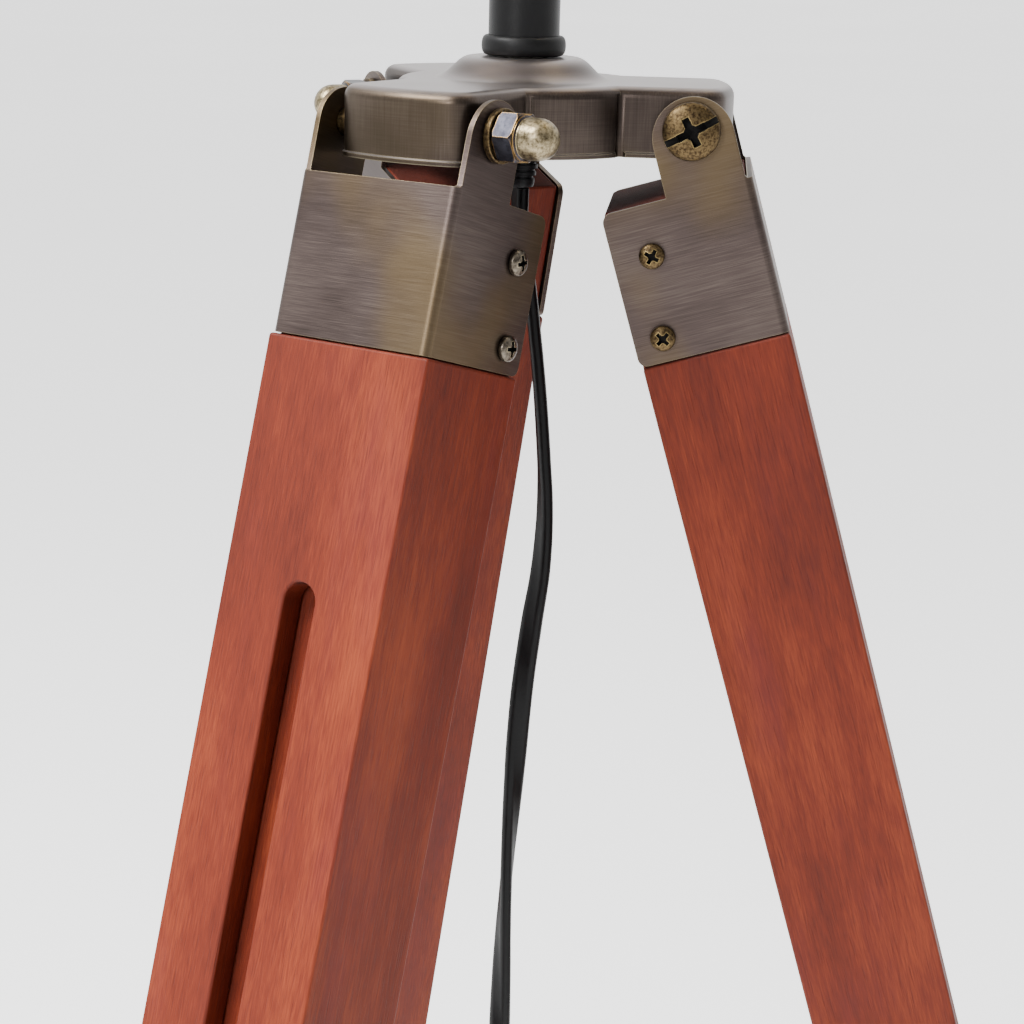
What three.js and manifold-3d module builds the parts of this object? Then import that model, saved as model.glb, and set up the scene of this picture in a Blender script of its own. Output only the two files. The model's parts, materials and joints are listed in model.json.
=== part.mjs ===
// A tripod floor lamp: three two-piece wooden legs hinge on a cast hub through folded metal brackets,
// and a stem above the hub carries the lampholder, the bulb and a drum shade.
// Units are millimetres, +Z is up, and the origin is on the floor under the stem's axis.
// In a leg's own frame +x points outwards, +y sideways and -z down the leg, from its pivot bolt.

import * as THREE from 'three';
import { mergeVertices } from 'three/addons/utils/BufferGeometryUtils.js';
import Module from 'manifold-3d';

const wasm = await Module();
wasm.setup();

// ---------------------------------------------------------------------------------------------
// Driving dimensions
// ---------------------------------------------------------------------------------------------

const GAP = 0.3;                    // between pieces that touch
const RUN = 0.3;                    // round a shaft, and round the sliding lower leg

// Stance
const LEG_TILT = THREE.MathUtils.degToRad(16.45);
const HEADINGS = { front: -90, right: 30, left: 150 };
const PIVOT_RADIUS = 38.6;          // stem axis to a leg's pivot bolt

// Folded bracket, measured from the pivot bolt
const SHEET = 1.2;
const BRACKET_WIDTH = 41.8;
const BRACKET_FRONT = 10.4;         // to the front plate's outer face
const BRACKET_DEPTH = 34.0;
const BRACKET_TOP = 12.8;
const BRACKET_BOTTOM = 47.9;
const BEND_RADIUS = 2.0;
const EAR_RADIUS = 8.9;
const EAR_DROP = 1.6;               // ear's centre below the bolt
const BRACKET_TOP_CORNER = 2.2;
const BRACKET_LOW_CORNER = 2.0;
const SCREW_PLACES = [[14.9, 24.1], [17.0, 42.4]];  // back from the bolt, and down

// Upper leg
const UPPER_LENGTH = 600;
const PROUD = 0.6;                  // wood stands proud of the bracket's sides
const LEG_BACK_SET = 0.6;           // bracket's inner edges stand past the wood
const WOOD_CHAMFER = 0.8;
const CAVITY_TOP = 72;              // pivot to the top of the hollow
const FRONT_WALL = 6.5;
const BACK_WALL = 5.5;
const SIDE_WALL = 6.5;
const SLOT_WIDTH = 8.3;
const SLOT_TOP = 99;
const SLOT_TO_END = 25;

// Lower leg and foot
const LOWER_TOP_ROOM = 12;          // cavity's end above the lower leg
const DRAWN_OUT = 327.2;            // lower leg showing below the upper one
const PAD_BASE = 11;                // leg's end to the floor, on the leg's axis
const PAD_WALL = 2;
const PAD_CUP = 18;

// Clamp
const STUD_RADIUS = 3;
const STUD_FROM_TOP = 276;          // lower leg's top to the clamp stud
const STUD_DEPTH = 12;
const KNOB_RADIUS = 12;
const KNOB_HEIGHT = 17;
const CLAMP_WASHER_RADIUS = 9;
const CLAMP_WASHER = 1.5;

// Pivot fasteners
const BOLT_RADIUS = 3;
const BOLT_HEAD_RADIUS = 6.3;
const BOLT_HEAD = 3.4;
const BOLT_IN_NUT = 9.4;
const WASHER_RADIUS = 5.8;
const WASHER = 1.6;
const NUT_FLATS = 10;
const NUT_HEX = 4.8;
const NUT_DOME_RADIUS = 4.6;
const NUT_HEIGHT = 13.5;
const SCREW_HEAD_RADIUS = 2.85;
const SCREW_HEAD = 1.9;
const SCREW_RADIUS = 1.3;
const SCREW_LENGTH = 11;

// Hub
const HUB_BELOW_PIVOT = 6.5;
const HUB_HEIGHT = 15.2;
const HUB_WALL = 3;
const HUB_DISC_RADIUS = 29;
const LOBE_CLEARANCE = 2.2;         // bracket's inside face to the lobe's flank
const LOBE_REACH = 9.4;             // lobe's end beyond the pivot
const LOBE_CORNER = 4.3;
const DOME_FOOT_RADIUS = 18.8;
const DOME_TOP_RADIUS = 12;
const DOME_HEIGHT = 4.7;

// Stem, nipple and gland
const STEM_RADIUS = 8;
const STEM_WALL = 1.2;
const STEM_LENGTH = 300;
const STEM_PLUG = 15;               // thick lower end that the nipple screws into
const RING_WALL = 1.2;
const RING_HEIGHT = 4.4;
const NIPPLE_RADIUS = 5;
const NIPPLE_BORE = 3.5;
const HUB_WASHER_RADIUS = 10;
const HUB_WASHER = 1.2;
const HUB_NUT_FLATS = 14;
const HUB_NUT = 3.5;
const GLAND_RADIUS = 6.2;
const GLAND_NOSE_RADIUS = 3.1;
const GLAND_BELOW_HUB = 9.2;
const GLAND_SLEEVE = 9;             // part of the gland inside the nipple

// Lampholder, bulb and shade
const HOLDER_RADIUS = 19;
const HOLDER_COLLAR_WALL = 2.7;
const HOLDER_COLLAR = 12;
const HOLDER_BODY = 38;
const HOLDER_THREAD = 20;
const HOLDER_THREAD_RADIUS = 17;
const SOCKET_RADIUS = 14.2;
const SOCKET_DEPTH = 32;
const WIRE_HOLE_RADIUS = 4;
const CAP_RADIUS = 13.4;
const CAP_HEIGHT = 31;
const BULB_RADIUS = 30;
const BULB_HEIGHT = 84;
const BULB_GLASS = 1;
const SHADE_RING_RADIUS = 21;
const SHADE_RING = 6;
const FITTER_RADIUS = 23;
const FITTER = 2;
const SHADE_RADIUS = 225;
const SHADE_HEIGHT = 280;
const SHADE_WALL = 1.2;
const SHADE_DROP = 32;              // fitter down to the shade's lower edge
const WIRE_RADIUS = 2;
const ARM_RADIUS = 1.6;

// Cord, foot switch and plug
const CORD_RADIUS = 2.7;
const COIL_CENTRE = [28, 182];
const COIL_INSIDE = 18;
const COIL_OUTSIDE = 41;
const COIL_HEIGHT = 11.6;
const SWITCH_CENTRE = [-26, 115];
const SWITCH_LENGTH = 62;
const SWITCH_WIDTH = 30;
const SWITCH_HEIGHT = 18;
const BUTTON_RADIUS = 10;
const BUTTON_HEIGHT = 8.5;
const BUTTON_PROUD = 3;
const BUTTON_TRAVEL = 2.5;
const PLUG_REAR = [84, 149];        // where the cord enters the plug
const PLUG_LENGTH = 36;
const PLUG_WIDTH = 34;
const PLUG_THICKNESS = 13.6;
const PIN_RADIUS = 2;
const PIN_LENGTH = 19;
const PIN_SPACING = 18.6;

// Sides of round pieces
const FINE = 28;
const ROUND = 12;
const SMALL = 8;

// ---------------------------------------------------------------------------------------------
// Sizes that follow from them
// ---------------------------------------------------------------------------------------------

const bracketHalf = BRACKET_WIDTH / 2;
const bracketInside = bracketHalf - SHEET;
const bracketBack = BRACKET_FRONT - BRACKET_DEPTH;

const legHalf = bracketHalf + PROUD;
const legFront = BRACKET_FRONT;
const legBack = bracketBack + LEG_BACK_SET;
const upperEnd = BRACKET_TOP + UPPER_LENGTH;
const cavityFront = legFront - FRONT_WALL;
const cavityBack = legBack + BACK_WALL;
const cavityHalf = legHalf - SIDE_WALL;
const slotBottom = upperEnd - SLOT_TO_END;

const lowerFront = cavityFront - RUN;
const lowerBack = cavityBack + RUN;
const lowerHalf = cavityHalf - RUN;
const lowerEnd = upperEnd + DRAWN_OUT;
const lowerTop = CAVITY_TOP + LOWER_TOP_ROOM;
const studPlace = lowerTop + STUD_FROM_TOP;
const legReach = lowerEnd + PAD_BASE;
const pivotHeight = legReach * Math.cos(LEG_TILT);

const hubBottom = pivotHeight - HUB_BELOW_PIVOT;
const hubTop = hubBottom + HUB_HEIGHT;
const hubCeiling = hubTop - HUB_WALL;
const lobeHalf = bracketInside - LOBE_CLEARANCE;
const lobeEnd = PIVOT_RADIUS + LOBE_REACH;
const domeTop = hubTop + DOME_HEIGHT;

const stemBottom = domeTop + GAP;
const stemTop = stemBottom + STEM_LENGTH;
const hubNutTop = hubCeiling - GAP - HUB_WASHER - GAP;
const nippleBottom = hubNutTop - HUB_NUT - GAP;
const glandBottom = hubBottom - GLAND_BELOW_HUB;

const holderBottom = stemTop + GAP - HOLDER_COLLAR;
const holderShoulder = holderBottom + HOLDER_COLLAR + HOLDER_BODY;
const holderTop = holderShoulder + HOLDER_THREAD;
const fitterBottom = holderShoulder + GAP;
const ringBottom = fitterBottom + FITTER + GAP;
const socketFloor = holderTop - SOCKET_DEPTH;
const capBottom = socketFloor + GAP;
const bulbBottom = capBottom + CAP_HEIGHT + GAP;
const shadeBottom = fitterBottom - SHADE_DROP;
const shadeTop = shadeBottom + SHADE_HEIGHT;
const wireRingRadius = SHADE_RADIUS - SHADE_WALL - GAP - WIRE_RADIUS;

const cordRest = CORD_RADIUS + 0.1; // height of the cord's centre where it lies on the floor

// ---------------------------------------------------------------------------------------------
// Colours and finishes
// ---------------------------------------------------------------------------------------------

/** A metalness-roughness material. */
function finish(color, roughness, metalness, extra = {}) {
  return new THREE.MeshStandardMaterial({ color, roughness, metalness, ...extra });
}

const stainedWood = () => finish(0x8c3f2a, 0.5, 0);
const antiqueSteel = () => finish(0x6f6554, 0.38, 1);
const castHub = () => finish(0x9b9186, 0.35, 1);
const antiqueBrass = () => finish(0x8f7440, 0.4, 1);
const darkSteel = () => finish(0x4a4c56, 0.35, 1);
const blackSteel = () => finish(0x141416, 0.45, 0.6);
const blackRubber = () => finish(0x0d0d0e, 0.8, 0);
const blackPlastic = () => finish(0x101012, 0.5, 0);
const zincSteel = () => finish(0xa9abad, 0.35, 1);
const opalGlass = () => finish(0xf4f1e8, 0.2, 0, { transparent: true, opacity: 0.7 });
const linen = () => finish(0xe9e1d0, 0.9, 0, { side: THREE.DoubleSide });

// ---------------------------------------------------------------------------------------------
// Shape helpers
// ---------------------------------------------------------------------------------------------

/** A closed geometry as a solid for joining and cutting. */
function solidOf(geometry) {
  const bare = geometry.index ? geometry.toNonIndexed() : geometry.clone();
  bare.deleteAttribute('normal');
  bare.deleteAttribute('uv');
  const merged = mergeVertices(bare, 1e-4);
  return new wasm.Manifold(new wasm.Mesh({
    numProp: 3,
    vertProperties: new Float32Array(merged.attributes.position.array),
    triVerts: new Uint32Array(merged.index.array),
  }));
}

/** A solid as a geometry. */
function geometryOf(solid) {
  const mesh = solid.getMesh();
  const geometry = new THREE.BufferGeometry();
  geometry.setAttribute('position', new THREE.BufferAttribute(mesh.vertProperties, 3));
  geometry.setIndex(new THREE.BufferAttribute(mesh.triVerts, 1));
  geometry.computeVertexNormals();
  return geometry;
}

/** One geometry with every tool taken away from it. */
function cut(base, ...tools) {
  return geometryOf(tools.reduce((left, tool) => left.subtract(solidOf(tool)), solidOf(base)));
}

/** Overlapping geometries as one. */
function join(first, ...rest) {
  return geometryOf(rest.reduce((sum, next) => sum.add(solidOf(next)), solidOf(first)));
}

/** What two geometries share. */
function common(first, second) {
  return geometryOf(solidOf(first).intersect(solidOf(second)));
}

/** A profile of [radius, height] points turned round Z, from its lowest point upwards. */
function turned(profile, sides = ROUND) {
  const points = profile.map(([radius, height]) => new THREE.Vector2(radius, height));
  return new THREE.LatheGeometry(points, sides).rotateX(Math.PI / 2);
}

/** A ring or tube of square section round Z. */
function ring(inside, outside, bottom, top, sides = ROUND) {
  return turned([[inside, bottom], [outside, bottom], [outside, top], [inside, top],
    [inside, bottom]], sides);
}

/** A solid round bar along Z. */
function bar(radius, bottom, top, sides = ROUND) {
  return turned([[0, bottom], [radius, bottom], [radius, top], [0, top]], sides);
}

/** A bar along Y, from one y to another. */
function crossBar(radius, from, to, sides = ROUND) {
  return bar(radius, from, to, sides).rotateX(-Math.PI / 2);
}

/** A bar along X, from one x to another. */
function outwardBar(radius, from, to, sides = ROUND) {
  return bar(radius, from, to, sides).rotateY(Math.PI / 2);
}

/** A block between two corners. */
function block([x0, y0, z0], [x1, y1, z1]) {
  return new THREE.BoxGeometry(x1 - x0, y1 - y0, z1 - z0)
    .translate((x0 + x1) / 2, (y0 + y1) / 2, (z0 + z1) / 2);
}

/** A plan outline raised from one height to another. */
function raised(shape, bottom, top, curveSegments = 4) {
  return new THREE.ExtrudeGeometry(shape, { depth: top - bottom, bevelEnabled: false, curveSegments })
    .translate(0, 0, bottom);
}

/** An outline in the X-Z plane, stretched evenly to both sides of it. */
function across(shape, width, curveSegments = 6) {
  return new THREE.ExtrudeGeometry(shape, { depth: width, bevelEnabled: false, curveSegments })
    .rotateX(Math.PI / 2).translate(0, width / 2, 0);
}

/** A rectangle with its corners cut off. */
function chamferedBox(x0, x1, half, chamfer) {
  const shape = new THREE.Shape();
  shape.moveTo(x0 + chamfer, -half);
  shape.lineTo(x1 - chamfer, -half);
  shape.lineTo(x1, -half + chamfer);
  shape.lineTo(x1, half - chamfer);
  shape.lineTo(x1 - chamfer, half);
  shape.lineTo(x0 + chamfer, half);
  shape.lineTo(x0, half - chamfer);
  shape.lineTo(x0, -half + chamfer);
  shape.closePath();
  return shape;
}

/** A rectangle with round ends along Y. */
function capsule(width, length) {
  const radius = width / 2;
  const straight = length / 2 - radius;
  const shape = new THREE.Shape();
  shape.absarc(0, straight, radius, 0, Math.PI);
  shape.absarc(0, -straight, radius, Math.PI, 2 * Math.PI);
  shape.closePath();
  return shape;
}

/** A regular six-sided outline, by its width over the flats. */
function hexagon(flats) {
  const shape = new THREE.Shape();
  for (let corner = 0; corner < 6; corner += 1) {
    const angle = corner * Math.PI / 3;
    const reach = flats / Math.sqrt(3);
    const method = corner === 0 ? 'moveTo' : 'lineTo';
    shape[method](reach * Math.cos(angle), reach * Math.sin(angle));
  }
  shape.closePath();
  return shape;
}

/** A round tube along a curve, closed at both ends. */
function rodAlong(curve, radius, steps, sides = 8) {
  const section = new THREE.Shape();
  for (let corner = 0; corner < sides; corner += 1) {
    const angle = (corner + 0.5) * 2 * Math.PI / sides;
    const method = corner === 0 ? 'moveTo' : 'lineTo';
    section[method](radius * Math.cos(angle), radius * Math.sin(angle));
  }
  section.closePath();
  return new THREE.ExtrudeGeometry(section, { steps, extrudePath: curve, bevelEnabled: false });
}

// ---------------------------------------------------------------------------------------------
// The assembly
// ---------------------------------------------------------------------------------------------

const lamp = new THREE.Group();

/** Adds a named piece to a group. */
function addPiece(group, name, geometry, material) {
  const mesh = new THREE.Mesh(geometry, material);
  mesh.name = name;
  group.add(mesh);
}

// Hub and what is clamped to it ---------------------------------------------------------------

/** One lobe's plan outline, on the +X side. */
function lobeShape(end, half) {
  const corner = Math.sqrt(end * end - half * half);
  const turn = Math.asin((half - LOBE_CORNER) / end);
  const shape = new THREE.Shape();
  shape.moveTo(0, -half);
  shape.lineTo(corner - LOBE_CORNER, -half);
  shape.quadraticCurveTo(corner, -half, end * Math.cos(turn), -end * Math.sin(turn));
  shape.absarc(0, 0, end, -turn, turn);
  shape.quadraticCurveTo(corner, half, corner - LOBE_CORNER, half);
  shape.lineTo(0, half);
  shape.closePath();
  return shape;
}

/** The disc and three lobes, drawn in by an inset, between two heights. */
function hubBlock(inset, bottom, top) {
  const lobes = Object.values(HEADINGS).map((heading) =>
    raised(lobeShape(lobeEnd - inset, lobeHalf - inset), bottom, top)
      .rotateZ(THREE.MathUtils.degToRad(heading)));
  return join(bar(HUB_DISC_RADIUS - inset, bottom, top, FINE), ...lobes);
}

/** The shallow dome under the stem, with a hollow foot and a round shoulder. */
function domeProfile() {
  const flank = new THREE.CubicBezierCurve(
    new THREE.Vector2(DOME_FOOT_RADIUS, hubTop),
    new THREE.Vector2((DOME_FOOT_RADIUS + DOME_TOP_RADIUS) / 2, hubTop),
    new THREE.Vector2((DOME_FOOT_RADIUS + DOME_TOP_RADIUS) / 2, domeTop),
    new THREE.Vector2(DOME_TOP_RADIUS, domeTop),
  ).getPoints(6).map((point) => [point.x, point.y]);
  return [[0, hubTop - 1], [DOME_FOOT_RADIUS, hubTop - 1], ...flank, [0, domeTop]];
}

/** The hub: a casting that is hollow below, bored for the nipple and the three pivot bolts. */
function hub() {
  const bores = Object.values(HEADINGS).map((heading) =>
    crossBar(BOLT_RADIUS + RUN, -lobeHalf - 1, lobeHalf + 1)
      .translate(PIVOT_RADIUS, 0, pivotHeight)
      .rotateZ(THREE.MathUtils.degToRad(heading)));
  return cut(
    join(hubBlock(0, hubBottom, hubTop), turned(domeProfile(), FINE)),
    hubBlock(HUB_WALL, hubBottom - 1, hubCeiling),
    bar(NIPPLE_RADIUS + RUN, hubBottom, domeTop + 1),
    ...bores,
  );
}

/** The black tube above the hub, with a thick lower end for the nipple. */
function stemTube() {
  const inside = STEM_RADIUS - STEM_WALL;
  const bore = NIPPLE_RADIUS + RUN;
  return turned([[bore, stemBottom], [STEM_RADIUS, stemBottom], [STEM_RADIUS, stemTop],
    [inside, stemTop], [inside, stemBottom + STEM_PLUG], [bore, stemBottom + STEM_PLUG],
    [bore, stemBottom]]);
}

/** The rubber ring round the stem's foot, with round edges. */
function stemRing() {
  const inside = STEM_RADIUS + RUN;
  const outside = inside + RING_WALL;
  const edge = RING_WALL * 0.6;
  return turned([[inside, stemBottom], [outside - edge, stemBottom],
    [outside, stemBottom + edge], [outside, stemBottom + RING_HEIGHT - edge],
    [outside - edge, stemBottom + RING_HEIGHT], [inside, stemBottom + RING_HEIGHT],
    [inside, stemBottom]], FINE);
}

/** The nut that pulls the nipple down inside the hub. */
function hubNut() {
  return cut(
    raised(hexagon(HUB_NUT_FLATS), hubNutTop - HUB_NUT, hubNutTop),
    bar(NIPPLE_RADIUS + GAP, hubNutTop - HUB_NUT - 1, hubNutTop + 1),
  );
}

/** The cord's strain relief: a sleeve in the nipple, a collar and a tapered nose. */
function cordGland() {
  const sleeve = NIPPLE_BORE - GAP;
  const collarTop = nippleBottom - GAP;
  return turned([[0, glandBottom], [GLAND_NOSE_RADIUS, glandBottom],
    [(GLAND_NOSE_RADIUS + GLAND_RADIUS) / 2, hubBottom - 1], [GLAND_RADIUS, hubBottom + 1.5],
    [GLAND_RADIUS, collarTop], [sleeve, collarTop], [sleeve, collarTop + GLAND_SLEEVE],
    [0, collarTop + GLAND_SLEEVE]]);
}

addPiece(lamp, 'hub', hub(), castHub());
addPiece(lamp, 'stem_tube', stemTube(), blackSteel());
addPiece(lamp, 'stem_ring', stemRing(), blackRubber());
addPiece(lamp, 'hub_nipple',
  ring(NIPPLE_BORE, NIPPLE_RADIUS, nippleBottom, stemBottom + STEM_PLUG - 2), zincSteel());
addPiece(lamp, 'hub_washer',
  ring(NIPPLE_RADIUS + GAP, HUB_WASHER_RADIUS, hubNutTop + GAP, hubCeiling - GAP), zincSteel());
addPiece(lamp, 'hub_nut', hubNut(), zincSteel());
addPiece(lamp, 'cord_gland', cordGland(), blackPlastic());

// Legs ----------------------------------------------------------------------------------------

/** The bracket's plan: a front plate with a side plate folded back at each end. */
function channelShape() {
  const start = bracketBack - 1;
  const bendX = BRACKET_FRONT - BEND_RADIUS;
  const bendY = bracketHalf - BEND_RADIUS;
  const insideBend = BEND_RADIUS - SHEET;
  const quarter = Math.PI / 2;
  const shape = new THREE.Shape();
  shape.moveTo(start, -bracketHalf);
  shape.lineTo(bendX, -bracketHalf);
  shape.absarc(bendX, -bendY, BEND_RADIUS, -quarter, 0);
  shape.absarc(bendX, bendY, BEND_RADIUS, 0, quarter);
  shape.lineTo(start, bracketHalf);
  shape.lineTo(start, bracketInside);
  shape.lineTo(bendX, bracketInside);
  shape.absarc(bendX, bendY, insideBend, quarter, 0, true);
  shape.absarc(bendX, -bendY, insideBend, 0, -quarter, true);
  shape.lineTo(start, -bracketInside);
  shape.closePath();
  return shape;
}

/** The bracket from the side: a plate with a round ear, and holes for the bolt and the screws. */
function sideShape() {
  const shape = new THREE.Shape();
  shape.moveTo(EAR_RADIUS, -EAR_DROP);
  shape.absarc(0, -EAR_DROP, EAR_RADIUS, 0, Math.PI);
  shape.lineTo(-EAR_RADIUS, -BRACKET_TOP);
  shape.lineTo(bracketBack + BRACKET_TOP_CORNER, -BRACKET_TOP);
  shape.quadraticCurveTo(bracketBack, -BRACKET_TOP, bracketBack, -BRACKET_TOP - BRACKET_TOP_CORNER);
  shape.lineTo(bracketBack, -BRACKET_BOTTOM + BRACKET_LOW_CORNER);
  shape.quadraticCurveTo(bracketBack, -BRACKET_BOTTOM,
    bracketBack + BRACKET_LOW_CORNER, -BRACKET_BOTTOM);
  shape.lineTo(BRACKET_FRONT + 1, -BRACKET_BOTTOM);
  shape.lineTo(BRACKET_FRONT + 1, -BRACKET_TOP);
  shape.lineTo(EAR_RADIUS, -BRACKET_TOP);
  shape.closePath();
  const boltHole = new THREE.Path().absarc(0, 0, BOLT_RADIUS + RUN, 0, 2 * Math.PI, true);
  const screwHoles = SCREW_PLACES.map(([back, down]) =>
    new THREE.Path().absarc(-back, -down, SCREW_RADIUS + RUN, 0, 2 * Math.PI, true));
  shape.holes.push(boltHole, ...screwHoles);
  return shape;
}

/** The folded sheet bracket. */
function bracket() {
  return common(
    raised(channelShape(), -BRACKET_BOTTOM - 1, EAR_RADIUS + 1, 3),
    across(sideShape(), BRACKET_WIDTH + 2, 5),
  );
}

/** The upper leg: a rebated head in the bracket, and a hollow with a slot in its outer wall. */
function upperLeg() {
  const headHalf = bracketInside - GAP;
  const headFront = BRACKET_FRONT - SHEET - GAP;
  const shoulder = BRACKET_BOTTOM + GAP;
  const head = raised(chamferedBox(legBack, headFront, headHalf, WOOD_CHAMFER),
    -shoulder - 1, -BRACKET_TOP);
  const body = raised(chamferedBox(legBack, legFront, legHalf, WOOD_CHAMFER),
    -upperEnd, -shoulder);
  const cavity = block([cavityBack, -cavityHalf, -upperEnd - 1],
    [cavityFront, cavityHalf, -CAVITY_TOP]);
  const slot = new THREE.ExtrudeGeometry(capsule(SLOT_WIDTH, slotBottom - SLOT_TOP),
    { depth: FRONT_WALL + 2, bevelEnabled: false, curveSegments: 8 })
    .rotateX(Math.PI / 2).rotateZ(Math.PI / 2)
    .translate(cavityFront - 1, 0, -(SLOT_TOP + slotBottom) / 2);
  const pilots = SCREW_PLACES.flatMap(([back, down]) => [-1, 1].map((side) => {
    const mouth = headHalf + 1;
    const end = headHalf - SCREW_LENGTH;
    return crossBar(SCREW_RADIUS + GAP, Math.min(side * mouth, side * end),
      Math.max(side * mouth, side * end), SMALL).translate(-back, 0, -down);
  }));
  return cut(join(body, head), cavity, slot, ...pilots);
}

/** The lower leg that slides in the upper one, with a blind hole for the clamp stud. */
function lowerLeg() {
  return cut(
    raised(chamferedBox(lowerBack, lowerFront, lowerHalf, WOOD_CHAMFER), -lowerEnd, -lowerTop),
    outwardBar(STUD_RADIUS + GAP, lowerFront - STUD_DEPTH - 1, lowerFront + 1, SMALL)
      .translate(0, 0, -studPlace),
  );
}

/** The rubber foot: a cup round the leg's end whose sole lies flat on the floor. */
function footPad() {
  const back = lowerBack - GAP - PAD_WALL;
  const front = lowerFront + GAP + PAD_WALL;
  const half = lowerHalf + GAP + PAD_WALL;
  const slope = Math.tan(LEG_TILT);
  const side = new THREE.Shape();
  side.moveTo(back, -lowerEnd + PAD_CUP);
  side.lineTo(back, -legReach - back * slope);
  side.lineTo(front, -legReach - front * slope);
  side.lineTo(front, -lowerEnd + PAD_CUP);
  side.closePath();
  return cut(
    across(side, 2 * half),
    block([lowerBack - GAP, -lowerHalf - GAP, -lowerEnd - GAP],
      [lowerFront + GAP, lowerHalf + GAP, -lowerEnd + PAD_CUP + 1]),
  );
}

/** The clamp's knob with its stud, along +X from the upper leg's outer face. */
function clampKnob() {
  const base = legFront + GAP + CLAMP_WASHER + GAP;
  const neck = KNOB_RADIUS * 0.6;
  return turned([[0, lowerFront - STUD_DEPTH], [STUD_RADIUS, lowerFront - STUD_DEPTH],
    [STUD_RADIUS, base], [neck, base], [neck, base + KNOB_HEIGHT * 0.2],
    [KNOB_RADIUS, base + KNOB_HEIGHT * 0.35], [KNOB_RADIUS, base + KNOB_HEIGHT * 0.9],
    [KNOB_RADIUS * 0.85, base + KNOB_HEIGHT], [0, base + KNOB_HEIGHT]])
    .rotateY(Math.PI / 2).translate(0, 0, -studPlace);
}

/** The washer under the knob. */
function clampWasher() {
  return ring(STUD_RADIUS + GAP, CLAMP_WASHER_RADIUS, legFront + GAP, legFront + GAP + CLAMP_WASHER)
    .rotateY(Math.PI / 2).translate(0, 0, -studPlace);
}

/** The pivot bolt, along +Y from its round head. */
function pivotBolt() {
  const seat = -bracketHalf - GAP;
  const end = bracketHalf + GAP + WASHER + GAP + BOLT_IN_NUT;
  return turned([[0, seat - BOLT_HEAD], [BOLT_HEAD_RADIUS * 0.55, seat - BOLT_HEAD * 0.85],
    [BOLT_HEAD_RADIUS, seat - BOLT_HEAD * 0.3], [BOLT_HEAD_RADIUS, seat], [BOLT_RADIUS, seat],
    [BOLT_RADIUS, end], [0, end]]).rotateX(-Math.PI / 2);
}

/** The washer under the cap nut. */
function pivotWasher() {
  const seat = bracketHalf + GAP;
  return ring(BOLT_RADIUS + GAP, WASHER_RADIUS, seat, seat + WASHER).rotateX(-Math.PI / 2);
}

/** The cap nut: a hexagon with a round dome that covers the bolt's end. */
function capNut() {
  const seat = bracketHalf + GAP + WASHER + GAP;
  const top = seat + NUT_HEIGHT;
  const shoulder = seat + NUT_HEX;
  const dome = turned([[0, shoulder - 1], [NUT_DOME_RADIUS, shoulder - 1],
    [NUT_DOME_RADIUS, top - NUT_DOME_RADIUS], [NUT_DOME_RADIUS * 0.87, top - NUT_DOME_RADIUS * 0.5],
    [NUT_DOME_RADIUS * 0.5, top - NUT_DOME_RADIUS * 0.13], [0, top]]);
  return cut(
    join(raised(hexagon(NUT_FLATS), seat, shoulder), dome),
    bar(BOLT_RADIUS + GAP, seat - 1, seat + BOLT_IN_NUT + GAP),
  ).rotateX(-Math.PI / 2);
}

/** A bracket screw on the +Y side, its shank pointing in. */
function bracketScrew() {
  const seat = bracketHalf + GAP;
  return turned([[0, seat - SCREW_LENGTH], [SCREW_RADIUS, seat - SCREW_LENGTH + 1],
    [SCREW_RADIUS, seat], [SCREW_HEAD_RADIUS, seat], [SCREW_HEAD_RADIUS, seat + SCREW_HEAD * 0.4],
    [SCREW_HEAD_RADIUS * 0.6, seat + SCREW_HEAD], [0, seat + SCREW_HEAD]], SMALL)
    .rotateX(-Math.PI / 2);
}

for (const [side, heading] of Object.entries(HEADINGS)) {
  const arm = new THREE.Group();
  arm.rotation.z = THREE.MathUtils.degToRad(heading);
  lamp.add(arm);

  const pivot = new THREE.Group();
  pivot.position.set(PIVOT_RADIUS, 0, pivotHeight);
  arm.add(pivot);
  addPiece(pivot, `${side}_pivot_bolt`, pivotBolt(), antiqueBrass());
  addPiece(pivot, `${side}_pivot_washer`, pivotWasher(), darkSteel());
  addPiece(pivot, `${side}_cap_nut`, capNut(), darkSteel());

  const leg = new THREE.Group();
  leg.rotation.y = -LEG_TILT;
  pivot.add(leg);
  addPiece(leg, `${side}_bracket`, bracket(), antiqueSteel());
  addPiece(leg, `${side}_upper_leg`, upperLeg(), stainedWood());
  SCREW_PLACES.forEach(([back, down], row) => {
    const level = row === 0 ? 'upper' : 'lower';
    const near = bracketScrew().translate(-back, 0, -down);
    const far = bracketScrew().rotateZ(Math.PI).translate(-back, 0, -down);
    addPiece(leg, `${side}_${level}_screw_a`, near, zincSteel());
    addPiece(leg, `${side}_${level}_screw_b`, far, zincSteel());
  });
  addPiece(leg, `${side}_lower_leg`, lowerLeg(), stainedWood());
  addPiece(leg, `${side}_foot_pad`, footPad(), blackRubber());
  addPiece(leg, `${side}_clamp_washer`, clampWasher(), antiqueBrass());
  addPiece(leg, `${side}_clamp_knob`, clampKnob(), antiqueBrass());
}

// Lampholder, bulb and shade ------------------------------------------------------------------

/** The lampholder: a collar over the stem, a bell body and a threaded top round the socket. */
function lampholder() {
  const collar = STEM_RADIUS + GAP;
  const collarTop = holderBottom + HOLDER_COLLAR;
  const collarOutside = collar + HOLDER_COLLAR_WALL;
  return turned([[collar, holderBottom], [collarOutside, holderBottom],
    [collarOutside, collarTop - 2], [HOLDER_RADIUS, collarTop + 8],
    [HOLDER_RADIUS, holderShoulder], [HOLDER_THREAD_RADIUS, holderShoulder],
    [HOLDER_THREAD_RADIUS, holderTop], [SOCKET_RADIUS, holderTop], [SOCKET_RADIUS, socketFloor],
    [WIRE_HOLE_RADIUS, socketFloor], [WIRE_HOLE_RADIUS, collarTop], [collar, collarTop],
    [collar, holderBottom]], FINE);
}

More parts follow.
